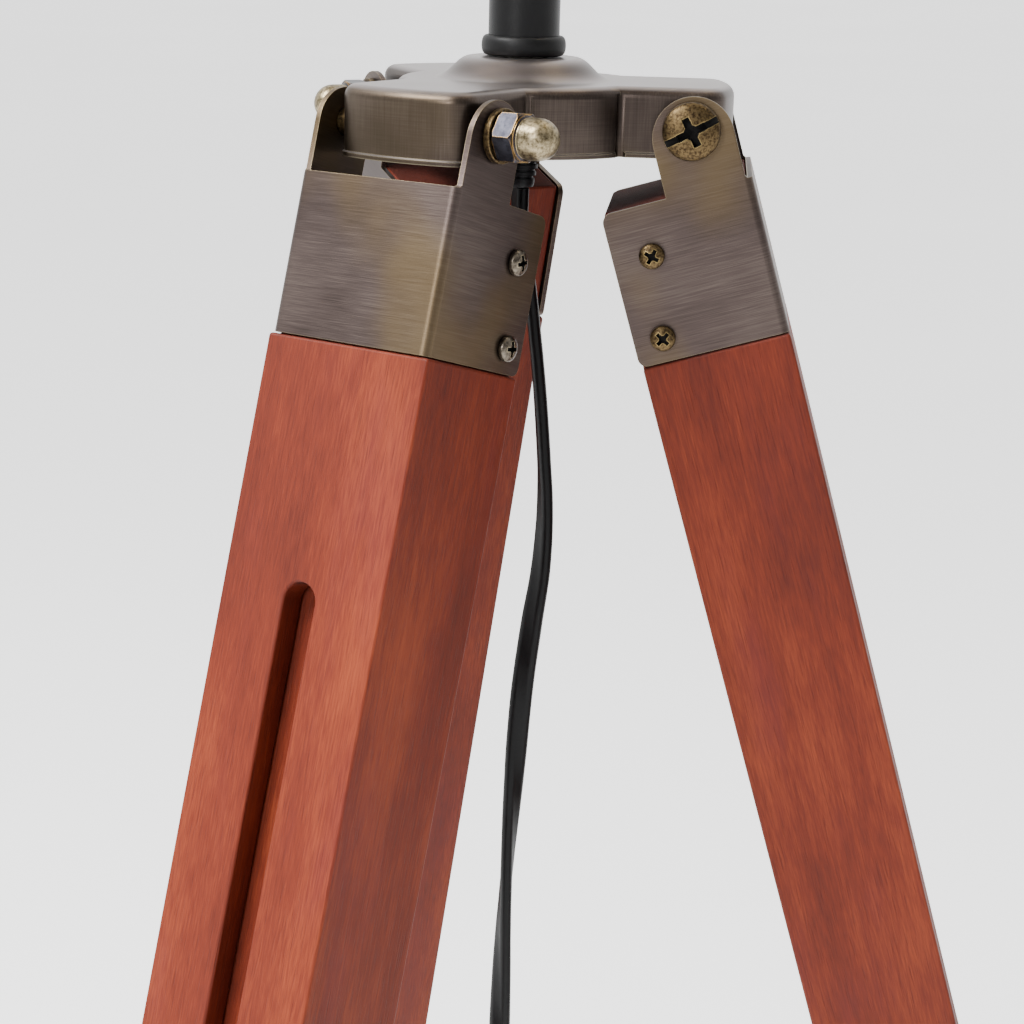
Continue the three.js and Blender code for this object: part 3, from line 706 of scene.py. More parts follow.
def boxed(name: str, low: Point, high: Point) -> bpy.types.Object:
    """Adds a block between two corners, given in millimetres.

    Args:
        name: The object's name.
        low: The low corner.
        high: The high corner.

    Returns:
        The piece.
    """
    low, high = metres([low, high])
    bpy.ops.object.select_all(action="DESELECT")
    bpy.ops.mesh.primitive_cube_add(size=1, location=[(a + b) / 2 for a, b in zip(low, high)])
    bpy.context.object.scale = [b - a for a, b in zip(low, high)]
    return fresh(name)


def barred(name: str, radius: float, start: Point, end: Point, sides: int = 48) -> bpy.types.Object:
    """Adds a round bar between two points.

    Args:
        name: The object's name.
        radius: The radius.
        start: One end.
        end: The other end.
        sides: Sides all round.

    Returns:
        The piece.
    """
    line = Vector(end) - Vector(start)
    bpy.ops.object.select_all(action="DESELECT")
    bpy.ops.mesh.primitive_cylinder_add(
        vertices=sides, radius=radius, depth=line.length,
        location=(Vector(start) + Vector(end)) / 2, rotation=line.to_track_quat("Z", "Y").to_euler())
    return fresh(name)


def modified(piece: bpy.types.Object, kind: str, **settings: object) -> bpy.types.Object:
    """Adds a modifier, sets it and applies it.

    Args:
        piece: The piece.
        kind: The modifier's type.
        settings: Its settings.

    Returns:
        The piece.
    """
    only(piece)
    modifier = piece.modifiers.new(kind.lower(), kind)
    for key, value in settings.items():
        setattr(modifier, key, value)
    bpy.ops.object.modifier_apply(modifier=modifier.name)
    return piece


def combined(piece: bpy.types.Object, operation: str, *tools: bpy.types.Object) -> bpy.types.Object:
    """Joins to, cuts from or keeps what a piece shares with its tools, and removes them.

    Args:
        piece: The piece.
        operation: DIFFERENCE, INTERSECT or UNION.
        tools: The other pieces.

    Returns:
        The piece.
    """
    for tool in tools:
        modified(piece, "BOOLEAN", operation=operation, solver="EXACT", object=tool)
        bpy.data.objects.remove(tool)
    return piece


def softened(piece: bpy.types.Object, width: float, segments: int = 2,
             angle: float = 35) -> bpy.types.Object:
    """Rounds the sharp edges and smooths the shading between them.

    Args:
        piece: The piece.
        width: The rounding's width.
        segments: Its steps.
        angle: The turn, in degrees, that counts as a sharp edge.

    Returns:
        The piece.
    """
    modified(piece, "BEVEL", width=width, segments=segments, limit_method="ANGLE",
             angle_limit=math.radians(angle), harden_normals=False, miter_outer="MITER_ARC")
    return smooth(piece, angle)


def smooth(piece: bpy.types.Object, angle: float = 35) -> bpy.types.Object:
    """Smooths the shading except over sharp edges, and keeps flats flat.

    Args:
        piece: The piece.
        angle: The turn, in degrees, that counts as a sharp edge.

    Returns:
        The piece.
    """
    only(piece)
    bpy.ops.object.shade_smooth_by_angle(angle=math.radians(angle))
    return modified(piece, "WEIGHTED_NORMAL", keep_sharp=True)


def moved(piece: bpy.types.Object, frame: Matrix) -> bpy.types.Object:
    """Carries a piece's mesh into a frame, its object staying at the origin."""
    piece.data.transform(frame)
    return piece


def copied(piece: bpy.types.Object, name: str, frame: Matrix) -> bpy.types.Object:
    """Copies a piece with a mesh of its own into a frame.

    Args:
        piece: The piece.
        name: The copy's name.
        frame: The frame that the copy is carried into.

    Returns:
        The copy.
    """
    twin = piece.copy()
    twin.data = piece.data.copy()
    twin.name = name
    bpy.context.collection.objects.link(twin)
    return moved(twin, frame)


def fitted(piece: bpy.types.Object, material: bpy.types.Material, body: Union[Body, str], slot: str,
           *nodes: str) -> bpy.types.Object:
    """Paints a finished piece and puts it on its body.

    Args:
        piece: The piece.
        material: Its material.
        body: The body that it moves with.
        slot: The record's material slot; not used.
        nodes: The nodes that it stands for.

    Returns:
        The piece.
    """
    if piece.data.materials:
        piece.data.materials[0] = material
    else:
        piece.data.materials.append(material)
    body = body.value if isinstance(body, Body) else body
    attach(piece, body)
    if nodes:
        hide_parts(*nodes)
    log.info("%s rides on %s", piece.name, body)
    return piece


def arc(centre: Point, radius: float, start: float, end: float, steps: int) -> list[Point]:
    """Points on an arc, its angles in degrees."""
    angles = [math.radians(start + (end - start) * i / steps) for i in range(steps + 1)]
    return [(centre[0] + radius * math.cos(a), centre[1] + radius * math.sin(a)) for a in angles]


TO_SIDE = spun(-90, "X")      # turns +Z to +Y
TO_FRONT = spun(90, "Y")      # turns +Z to +X
HALF_TURN = spun(180, "Z")


# ---------------------------------------------------------------------------------------------
# Where the legs are
# ---------------------------------------------------------------------------------------------


@dataclass(frozen=True)
class LegPlace:
    """One leg's frames, from its joints."""

    side: str
    seat: Matrix
    level: Matrix

    @classmethod
    def find(cls, side: str, joints: Sequence[dict]) -> "LegPlace":
        """Works a leg's frames out.

        Args:
            side: The leg's name.
            joints: The frame's joints.

        Returns:
            The place.
        """
        fold = next(j for j in joints if j["name"] == f"{side}_leg_fold")
        extend = next(j for j in joints if j["name"] == f"{side}_leg_extend")
        pivot = Matrix.Translation(fold["pos_m"])
        sideways = -Vector(fold["axis"]).normalized()
        frames = []
        for up in (-Vector(extend["axis"]).normalized(), Vector((0, 0, 1))):
            out = sideways.cross(up)
            turn = Matrix((out, sideways, up)).transposed().to_4x4()
            frames.append(pivot @ turn)
        return cls(side, *frames)


# ---------------------------------------------------------------------------------------------
# Camera, lights and floor
# ---------------------------------------------------------------------------------------------


@dataclass
class Studio:
    """A pale floor, soft light and the camera."""

    spot: Point = (0.2883, -0.4134, 0.0470)     # from the pivots' level on the stem's axis
    heading: float = 34.9
    dip: float = 15.52
    roll: float = 1.4
    lens: float = 77.36
    key: float = 135.0
    front: float = 17.0
    sky: float = 1.9
    shade: float = 0.42
    floor_glow: float = 0.7
    floor_width: float = 160.0
    key_spot: Point = (-0.6, -0.95, 1.55)       # also from the pivots' level
    key_aim: Point = (0.0, 0.0, -0.2)
    front_spot: Point = (0.1, -1.55, 0.55)
    bright_way: Point = (-0.55, 0.75, 0.4)

    def camera(self, level: float) -> None:
        """Places the camera, which looks a little down at the hub.

        Args:
            level: The pivots' height.
        """
        data = bpy.data.cameras.new("camera")
        data.lens = self.lens
        data.sensor_width = 36.0
        data.clip_start = 0.02
        data.clip_end = 200.0
        camera = bpy.data.objects.new("camera", data)
        bpy.context.collection.objects.link(camera)
        turn = (spun(self.heading, "Z")
                @ spun(90 - self.dip, "X")
                @ spun(self.roll, "Z"))
        camera.matrix_world = Matrix.Translation(Vector(self.spot) + Vector((0, 0, level))) @ turn
        bpy.context.scene.camera = camera

    def area(self, name: str, spot: Point, aim: Point, size: float, power: float) -> None:
        """Adds a square soft light.

        Args:
            name: The light's name.
            spot: Where it is.
            aim: What it points at.
            size: Its side's length.
            power: Its power in watts.
        """
        data = bpy.data.lights.new(name, "AREA")
        data.size = size
        data.energy = power
        light = bpy.data.objects.new(name, data)
        light.location = spot
        light.rotation_euler = (Vector(aim) - Vector(spot)).to_track_quat("-Z", "Y").to_euler()
        light.visible_camera = False
        bpy.context.collection.objects.link(light)

    def build(self, level: float) -> None:
        """Builds the floor, the sky and the lights.

        Args:
            level: The pivots' height.
        """
        bpy.ops.object.select_all(action="DESELECT")
        bpy.ops.mesh.primitive_plane_add(size=self.floor_width, location=(0, 0, -0.0005))
        floor = fresh("studio_floor")
        paint = Paint("floor", roughness=0.9, specular_ior_level=0.1)
        cloud = paint.noise(paint.place(), (0.6, 0.6, 0.6), 2, 0.5)
        paint.shader.inputs["Emission Color"].default_value = (1, 1, 1, 1)
        paint.shader.inputs["Emission Strength"].default_value = self.floor_glow
        floor.data.materials.append(paint.finish(paint.ramp(cloud, [(0.3, "fafafa"), (0.7, "ffffff")])))
        self.surround()
        pivots = Vector((0, 0, level))
        self.area("key_light", pivots + Vector(self.key_spot), pivots + Vector(self.key_aim), 1.0, self.key)
        self.area("front_light", pivots + Vector(self.front_spot), pivots, 0.3, self.front)

    def surround(self) -> None:
        """Wraps the set in white, bright behind and overhead and dimmer in front."""
        world = bpy.data.worlds.new("studio")
        world.use_nodes = True
        tree = world.node_tree
        way = tree.nodes.new("ShaderNodeTexCoord").outputs["Generated"]
        aim = tree.nodes.new("ShaderNodeVectorMath")
        aim.operation = "DOT_PRODUCT"
        aim.inputs[1].default_value = Vector(self.bright_way).normalized()
        spread = tree.nodes.new("ShaderNodeMapRange")
        spread.interpolation_type = "SMOOTHSTEP"
        for name, value in (("From Min", -0.35), ("From Max", 0.6), ("To Min", self.shade),
                            ("To Max", self.sky)):
            spread.inputs[name].default_value = value
        tree.links.new(way, aim.inputs[0])
        tree.links.new(aim.outputs["Value"], spread.inputs["Value"])
        tree.links.new(spread.outputs[0], tree.nodes["Background"].inputs["Strength"])
        tree.nodes["Background"].inputs["Color"].default_value = (1, 1, 1, 1)
        bpy.context.scene.world = world


# ---------------------------------------------------------------------------------------------
# Cord
# ---------------------------------------------------------------------------------------------


def even_line(points: Sequence[Vector], step: float) -> list[Vector]:
    """Runs one smooth curve through points and steps evenly along it.

    Args:
        points: The points.
        step: The spacing.

    Returns:
        The evenly spaced points.
    """
    ends = [2 * points[0] - points[1], *points, 2 * points[-1] - points[-2]]
    dense: list[Vector] = []
    for a, b, c, d in zip(ends, ends[1:], ends[2:], ends[3:]):
        count = max(4, int((c - b).length / (0.25 * step)))
        for i in range(count):
            t = i / count
            dense.append(0.5 * (2 * b + (c - a) * t + (2 * a - 5 * b + 4 * c - d) * t * t
                                + (3 * b - a - 3 * c + d) * t ** 3))
    dense.append(points[-1])
    line = [dense[0]]
    for point in dense[1:]:
        if (point - line[-1]).length >= step:
            line.append(point)
    line.append(dense[-1])
    return line


@dataclass
class Cord:
    """The flat twin cord, from the gland to the plug."""

    level: float
    width: float = 5.4 * MM
    thick: float = 3.2 * MM
    step: float = 2.2 * MM
    floor: float = 1.75 * MM
    coil_outside: float = 38.0
    coil_inside: float = 23.5
    coil_low: float = 2.8
    coil_high: float = 8.3
    coil_turns: int = 6
    join: float = 44.5
    wide_side: Point = (0.82, 0.572, 0.0)
    twist: tuple = ((0, 60), (30, 90), (60, 80), (115, 0), (157, -90), (201, -180), (245, -215))

    def drop(self) -> list[Point]:
        """The stretch from the gland to the foot switch, in millimetres.

        Returns:
            The points, in millimetres.
        """
        top = self.level / MM
        low = self.floor / MM
        return [
            (0, 0, top - 16.0), (0.2, 0.1, 888), (2.2, 1.5, 873), (3.9, 2.7, 858),
            (5.4, 3.7, 840), (6.3, 4.4, 822), (5.9, 4.1, 806), (4.3, 3.0, 791), (2.7, 1.9, 773),
            (1.6, 1.1, 750), (0.5, 0.4, 722), (0, 0, 690), (-0.8, 0.4, 600), (-0.4, 0.8, 480),
            (0.4, 0.6, 350), (0.4, 0, 220), (0, 0, 110), (0, 0.6, 60), (0, 4, 31),
            (-0.2, 14, 10), (-0.6, 29, low + 0.6), (-4, 43, low), (-12, 56, low), (-21, 66, low),
            (-25.8, 76, low), (-26, 84, low), (-26, 100, low + 2), (-26, 115, low + 3),
            (-26, 130, low + 2), (-26, 146, low),
        ]

    def run(self) -> list[Point]:
        """The stretch from the foot switch to the coil."""
        low = self.floor / MM
        return [(-25.9, 155, low), (-23.6, 176, low + 1.0), (-17.4, 191.5, self.coil_low)]

    def coil(self) -> list[Point]:
        """The coil's turns, inwards along the floor and outwards on top of them.

        Returns:
            The points, in millimetres.
        """
        start = 150.0
        total = start + 360.0 * self.coil_turns
        count = 16 * self.coil_turns + 8
        points = []
        for i in range(count + 1):
            share = i / count
            angle = math.radians(start - total * share)
            inwards = abs(1 - 2 * share)
            radius = self.coil_inside + (self.coil_outside - self.coil_inside) * inwards
            for end in (share, 1 - share):
                lead = max(0.0, 1 - end * total / 80)
                radius += (self.join - self.coil_outside) * lead * lead
            climb = min(1.0, max(0.0, (share - 0.47) / 0.06))
            climb = climb * climb * (3 - 2 * climb)
            height = self.coil_low + (self.coil_high - self.coil_low) * climb
            settle = max(0.0, 1 - (1 - share) * total / 60)
            height -= (self.coil_high - self.coil_low - 1) * settle
            points.append((COIL_CENTRE[0] + radius * math.cos(angle),
                           COIL_CENTRE[1] + radius * math.sin(angle), height))
        return points

    def tail(self) -> list[Point]:
        """The stretch from the coil to the plug."""
        x, y, z = PLUG_REAR
        return [(74.5, 173, 3.4), (79, 165, 4.6), (83.2, 158, 6.1), (x, y + 4, z), (x, y + 0.3, z)]

    def route(self) -> list[Vector]:
        """The whole centreline, evenly spaced."""
        points = [*self.drop(), *self.run(), *self.coil(), *self.tail()]
        return even_line([Vector(point) * MM for point in points], self.step)

    def section(self) -> list[Point]:
        """The flat outline, (along the width, along the thickness), with a dip between the cores.

        Returns:
            The points, in metres.
        """
        outline = []
        for i in range(20):
            angle = 2 * math.pi * i / 20
            wide = math.copysign(abs(math.cos(angle)) ** 0.8, math.cos(angle)) * self.width / 2
            deep = math.copysign(abs(math.sin(angle)) ** 0.8, math.sin(angle)) * self.thick / 2
            dip = 1 - 0.2 * math.exp(-(wide / (0.7 * MM)) ** 2)
            outline.append((wide, deep * dip))
        return outline

    def turn_at(self, along: float) -> float:
        """The twist in degrees at a length along the cord, on the hanging stretch.

        Args:
            along: The length from the gland.

        Returns:
            The angle in degrees.
        """
        for (s0, a0), (s1, a1) in zip(self.twist, self.twist[1:]):
            if along <= s1 * MM:
                share = (along / MM - s0) / (s1 - s0)
                return a0 + (a1 - a0) * share
        return self.twist[-1][1]

    def wide_ways(self, line: Sequence[Vector]) -> list[Vector]:
        """The direction of the cord's width at each point of its centreline.

        Args:
            line: The centreline.

        Returns:
            One unit vector for each point.
        """
        ahead = [(b - a).normalized() for a, b in zip(line, line[1:])]
        ahead.append(ahead[-1])
        landed = next(i for i, point in enumerate(line) if point.z < 4 * MM)
        carried = Vector(self.wide_side)
        frames = []
        for way in ahead[:landed + 1]:
            carried = (carried - way * carried.dot(way)).normalized()
            frames.append((carried, way.cross(carried)))
        first, second = frames[-1]
        level = math.degrees(math.atan2(-first.z, second.z))
        last = self.twist[-1]
        while level > last[1] + 90:
            level -= 180
        while level < last[1] - 90:
            level += 180
        ways = []
        along = 0.0
        start = last[0] * MM
        end = landed * self.step
        for first, second in frames:
            angle = self.turn_at(along)
            if along > start:
                angle += (level - last[1]) * min(1.0, (along - start) / (end - start))
            turn = math.radians(angle)
            ways.append(first * math.cos(turn) + second * math.sin(turn))
            along += self.step
        centre = Vector((*COIL_CENTRE, 0)) * MM
        sign = 1.0
        for point, way in zip(line[landed + 1:], ahead[landed + 1:]):
            flat = way.cross(Vector((0, 0, 1))).normalized()
            upright = flat.cross(way)
            near = Vector((point.x - centre.x, point.y - centre.y)).length / MM
            edge = min(1.0, max(0.0, (58 - near) / 13))
            lean = math.radians(90 * edge)
            wide = flat * math.cos(lean) + upright * math.sin(lean)
            if wide.dot(ways[-1]) * sign < 0:
                sign = -sign
            ways.append(wide * sign)
        return ways

    def build(self) -> tuple[bpy.types.Object, list[Vector]]:
        """Skins the cord.

        Returns:
            The cord and its centreline.
        """
        line = self.route()
        ways = self.wide_ways(line)
        section = self.section()
        corners = []
        for i, (point, wide) in enumerate(zip(line, ways)):
            ahead = line[min(i + 1, len(line) - 1)] - line[max(i - 1, 0)]
            deep = ahead.normalized().cross(wide).normalized()
            corners += [point + wide * a + deep * b for a, b in section]
        around = len(section)
        faces = [(i * around + j, i * around + (j + 1) % around,
                  (i + 1) * around + (j + 1) % around, (i + 1) * around + j)
                 for i in range(len(line) - 1) for j in range(around)]
        faces.append(tuple(reversed(range(around))))
        faces.append(tuple(range((len(line) - 1) * around, len(line) * around)))
        mesh = bpy.data.meshes.new("cord")
        mesh.from_pydata(corners, [], faces)
        cord = bpy.data.objects.new("cord", mesh)
        bpy.context.collection.objects.link(cord)
        smooth(clean(cord, 1e-7), 50)
        return cord, line


@dataclass
class CordFittings:
    """The gland, the foot switch, the plug and the coil's tie."""

    level: float
    plastic: bpy.types.Material
    pin_metal: bpy.types.Material

    def gland(self) -> bpy.types.Object:
        """The ribbed strain relief under the hub.

        Returns:
            The gland.
        """
        bottom = self.level / MM - 15.7
        profile = [(0, bottom), (2.9, bottom), (3.1, bottom + 0.5)]
        for i in range(4):
            foot = bottom + 1.0 + 1.6 * i
            wide = 3.2 + 0.32 * i
            profile += [(wide, foot), (wide, foot + 0.9), (wide - 0.35, foot + 1.0),
                        (wide - 0.35, foot + 1.5)]
        profile += [(4.6, bottom + 7.6), (6.2, bottom + 10.6), (6.2, bottom + 14.6),
                    (3.2, bottom + 15.0), (3.2, bottom + 24), (0, bottom + 24)]
        gland = turned("gland", metres(profile), 40)
        return fitted(smooth(gland), self.plastic, Body.HEAD, "black_plastic", "cord_gland")

    def switch(self) -> tuple[bpy.types.Object, bpy.types.Object]:
        """The foot switch's body and its button.

        Returns:
            The body and the button.
        """
        x, y = SWITCH_CENTRE
        outline = arc((x, y + 16), 15, 0, 180, 18) + arc((x, y - 16), 15, 180, 360, 18)
        layers = metres([(0, 3.0), (0.5, 0.5), (0, 8.6)])
        layers += metres(rounded_layers(5.8, 6))
        body = layered("switch_body", metres(outline), 0.05 * MM, layers)
        well = barred("well", 10.3 * MM, *metres([(x, y, 9.7), (x, y, 30)]), 64)
        combined(body, "DIFFERENCE", well)
        for end in (-1, 1):
            collar = turned("collar", metres([(0, 0), (4.6, 0), (4.4, 2), (3.6, 5), (0, 5)]), 32)
            moved(collar, Matrix.Scale(0.62, 4, (0, 1, 0)))
            moved(collar, shift(x, y + end * 29.5, 2.9)
                  @ spun(-90 * end, "X"))
            combined(body, "UNION", clean(collar))
        softened(body, 0.25 * MM, 2, 40)
        top = 21.0
        rings = [(0, top - 8.5), (9.6, top - 8.5), (10, top - 8.1), (10, top - 1.2), (9.3, top - 0.3),
                 (8.6, top)]
        for i in range(4):
            edge = 7.4 - 1.7 * i
            rings += [(edge + 0.5, top), (edge + 0.3, top - 0.5), (edge - 0.3, top - 0.5),
                      (edge - 0.5, top)]
        rings.append((0, top))
        button = turned("switch_button", metres(rings), 64)
        smooth(moved(button, shift(x, y, 0)))
        fitted(body, self.plastic, Body.HEAD, "black_plastic", "foot_switch_body")
        fitted(button, self.plastic, Body.BUTTON, "black_plastic", "foot_switch_button")
        return body, button

    def plug(self) -> tuple[bpy.types.Object, bpy.types.Object]:
        """The flat two-pin plug and its pins, pointing towards -Y.

        Returns:
            The body and the pins.
        """
        x, y, _ = PLUG_REAR
        right = [(3.6, 0), (4.4, -6), (6.6, -11), (12, -17), (16.2, -21), (17, -24), (17, -35.2),
                 (16.2, -36)]
        outline = [(-a, b) for a, b in right] + [(a, b) for a, b in reversed(right)]
        outline = [((a + x) * MM, (b + y) * MM) for a, b in outline]
        edge = metres(rounded_layers(1.6, 4))
        body = layered("plug_body", outline, 0.3 * MM, [(0, 11.6 * MM), *edge])
        for i in range(4):
            rib = boxed("rib", (x - 20, y - 28 - 2 * i, 12.6), (x + 20, y - 27 - 2 * i, 15))
            combined(body, "DIFFERENCE", rib)
        softened(body, 0.3 * MM, 2, 40)
        pins = []
        for side in (-1, 1):
            tip = [(0, 0), (2, 0), (2, 10), (1.95, 10.2), (1.95, 17.8), (1.5, 18.7), (0.8, 19), (0, 19)]
            pin = turned("pin", metres(tip), 32)
            pins.append(moved(pin, shift(x + side * 9.3, y - 36, PLUG_REAR[2])
                              @ spun(90, "X")))
        pair = smooth(clean(combined(pins[0], "UNION", pins[1])))
        pair.name = "plug_pins"
        fitted(body, self.plastic, Body.HEAD, "black_plastic", "plug")
        fitted(pair, self.pin_metal, Body.HEAD, "zinc_steel")
        return body, pair

    def tie(self) -> bpy.types.Object:
        """A flat strap round the coil's turns.

        Returns:
            The strap.
        """
        x, y = COIL_CENTRE
        outer = boxed("coil_tie", (x - 4, y - 41.4, 0.02), (x + 4, y - 19.6, 11.9))
        softened(outer, 1.6 * MM, 3, 40)
        inner = boxed("inner", (x - 9, y - 40.9, 0.06), (x + 9, y - 20.1, 11.4))
        combined(outer, "DIFFERENCE", softened(inner, 1.2 * MM, 3, 40))
        return fitted(smooth(outer), self.plastic, Body.HEAD, "black_plastic")


# ---------------------------------------------------------------------------------------------
# Hub and stem
# ---------------------------------------------------------------------------------------------


@dataclass
class Hub:
    """The cast hub with its dome, the stem and the rubber ring round the stem's foot."""

    level: float
    legs: Sequence[LegPlace]
    below: float = 6.5
    height: float = 15.2
    wall: float = 3.0
    disc: float = 29.0
    half: float = 17.5
    end: float = 48.0
    corner: float = 4.6
    fillet: float = 2.6
    nipple_bore: float = 5.3

    @property
    def bottom(self) -> float:
        """The underside's height in millimetres."""
        return self.level / MM - self.below

    def outline(self, inset: float) -> list[Point]:
        """The lobed outline, drawn in all round.

        Args:
            inset: How far it is drawn in, in millimetres.

        Returns:
            The points, in metres, anticlockwise.
        """
        disc, half, end = self.disc - inset, self.half - inset, self.end - inset
        notch = math.sqrt(disc ** 2 - half ** 2)
        corner = math.sqrt(end ** 2 - half ** 2)
        turn = math.degrees(math.asin((half - self.corner) / end))
        foot = (end * math.cos(math.radians(turn)), end * math.sin(math.radians(turn)))
        bend = []
        for i in range(7):
            t = i / 6
            near, far = (corner - self.corner, half), (corner, half)
            bend.append(tuple((1 - t) ** 2 * near[k] + 2 * t * (1 - t) * far[k] + t * t * foot[k]
                              for k in (0, 1)))
        step = math.degrees(math.atan2(half, notch))
        lobe = [(x, -y) for x, y in bend] + arc((0, 0), end, -turn, turn, 10)[1:-1]
        lobe += list(reversed(bend)) + arc((0, 0), disc, step, 120 - step, 8)
        points = []
        for i in range(3):
            angle = math.radians(-90 + 120 * i)
            cos, sin = math.cos(angle), math.sin(angle)
            points += [((x * cos - y * sin) * MM, (x * sin + y * cos) * MM) for x, y in lobe]
        return points

    def casting(self) -> bpy.types.Object:
        """The hub, hollow below and bored for the nipple and the bolts.

        Returns:
            The casting.
        """
        base = self.bottom
        top = base + self.height
        layers = [(0, 0.9), (0.45, 0.25), (0, self.height - 1.15 - self.fillet)]
        layers += rounded_layers(self.fillet, 6)
        body = layered("hub_casting", self.outline(0), base * MM, metres(layers))
        dome = [(0, top - 1), (20.4, top - 1), (20.4, top - 0.03)]
        for i in range(1, 13):
            t = i / 12
            radius = 20.4 * (1 - t) ** 3 + 49.2 * t * (1 - t) ** 2 + 45.6 * t * t * (1 - t) + 12 * t ** 3
            rise = 4.73 * (3 * t * t - 2 * t ** 3) - 0.03
            dome.append((radius, top + rise))
        dome += [(11.2, top + 4.7), (0, top + 4.7)]
        combined(body, "UNION", turned("dome", metres(dome), 96))
        hollow = layered("hollow", self.outline(self.wall), (base - 1) * MM,
                         [(0, (self.height - self.wall + 1) * MM)])
        bore = barred("bore", self.nipple_bore * MM, *metres([(0, 0, base - 1), (0, 0, top + 8)]))
        tools = [hollow, bore]
        for leg in self.legs:
            out = leg.level.col[0].to_3d()
            side = leg.level.col[1].to_3d()
            centre = leg.level.translation
            reach = side * 20 * MM
            tools.append(barred("bolt_bore", BOLT_BORE * MM, centre - reach, centre + reach))
            for hand in (-1, 1):
                spot = out * 23.3 * MM + side * hand * 18.0 * MM
                low = Vector((spot.x, spot.y, (base - 1) * MM))
                high = Vector((spot.x, spot.y, (top + 1) * MM))
                tools.append(barred("groove", 1.15 * MM, low, high, 24))
        combined(body, "DIFFERENCE", *tools)
        return smooth(clean(body, 2e-6), 32)

    def build(self, pewter: bpy.types.Material, black: bpy.types.Material,
              rubber: bpy.types.Material) -> None:
        """Builds the casting, the stem and the ring.

        Args:
            pewter: The casting's material.
            black: The black steel's material.
            rubber: The black rubber's material.
        """
        fitted(self.casting(), pewter, Body.HEAD, "cast_hub", "hub")
        low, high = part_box("stem_tube")
        stem = turned("stem", [(5.3 * MM, low[2]), (7.7 * MM, low[2]), (8 * MM, low[2] + 0.3 * MM),
                               (8 * MM, high[2] - 0.3 * MM), (7.7 * MM, high[2]), (6.8 * MM, high[2]),
                               (6.8 * MM, low[2] + 15 * MM), (5.3 * MM, low[2] + 15 * MM),
                               (5.3 * MM, low[2])], 96)
        fitted(smooth(stem), black, Body.HEAD, "black_steel", "stem_tube")
        foot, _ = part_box("stem_ring")
        base = foot[2] / MM
        section = [(8.15, base)]
        for i in range(17):
            angle = math.radians(-90 + 180 * i / 16)
            section.append((8.15 + 1.35 * abs(math.cos(angle)) ** 0.75,
                            base + 2.2 + math.copysign(2.2 * abs(math.sin(angle)) ** 0.9, math.sin(angle))))
        section += [(8.15, base + 4.4), (8.15, base)]
        ring = turned("stem_foot_ring", metres(section), 96)
        fitted(smooth(ring, 50), rubber, Body.HEAD, "black_rubber", "stem_ring")


# ---------------------------------------------------------------------------------------------
# Legs
# ---------------------------------------------------------------------------------------------


@dataclass
class Bracket:
    """A folded sheet bracket with round ears."""

    sheet: float = 1.2
    half: float = 20.9
    front: float = 10.4
    back: float = -23.6
    top: float = 12.8
    bottom: float = 47.9
    bend: float = 2.0
    ear: float = 8.9
    ear_drop: float = 1.6
    screw_bore: float = 1.6

    def build(self, screws: Sequence[Point]) -> bpy.types.Object:
        """Builds it in the leg's frame.

        Args:
            screws: (back, down) of the screw holes.

        Returns:
            The bracket.
        """
        edge, side = self.front - self.bend, self.half - self.bend
        inner = self.half - self.sheet
        plan = [(self.back - 2, -self.half), *arc((edge, -side), self.bend, -90, 0, 8),
                *arc((edge, side), self.bend, 0, 90, 8), (self.back - 2, self.half),
                (self.back - 2, inner), *arc((edge, side), self.bend - self.sheet, 90, 0, 6),
                *arc((edge, -side), self.bend - self.sheet, 0, -90, 6), (self.back - 2, -inner)]
        channel = layered("bracket", metres(plan), -(self.bottom + 2) * MM,
                          [(0, (self.bottom + self.ear + 5) * MM)])
        drop = -self.ear_drop
        outline = [(self.ear, -self.top + 0.6), *arc((0, drop), self.ear, 0, 180, 28),
                   (-self.ear, -self.top),
                   *arc((self.back + 2.2, -self.top - 2.2), 2.2, 90, 180, 6),
                   *arc((self.back + 2, -self.bottom + 2), 2, 180, 270, 5),
                   (self.front + 2, -self.bottom), (self.front + 2, -self.top),
                   (self.ear + 0.45, -self.top)]
        blank = layered("blank", metres(outline), -25 * MM, [(0, 50 * MM)])
        moved(blank, spun(90, "X"))
        combined(channel, "INTERSECT", blank)
        holes = [barred("hole", BOLT_BORE * MM, *metres([(0, -25, 0), (0, 25, 0)]))]
        for back, down in screws:
            ends = metres([(-back, -25, -down), (-back, 25, -down)])
            holes.append(barred("hole", self.screw_bore * MM, *ends, 24))
        combined(channel, "DIFFERENCE", *holes)
        clean(channel, 2e-6)
        return softened(channel, 0.28 * MM, 2, 40)


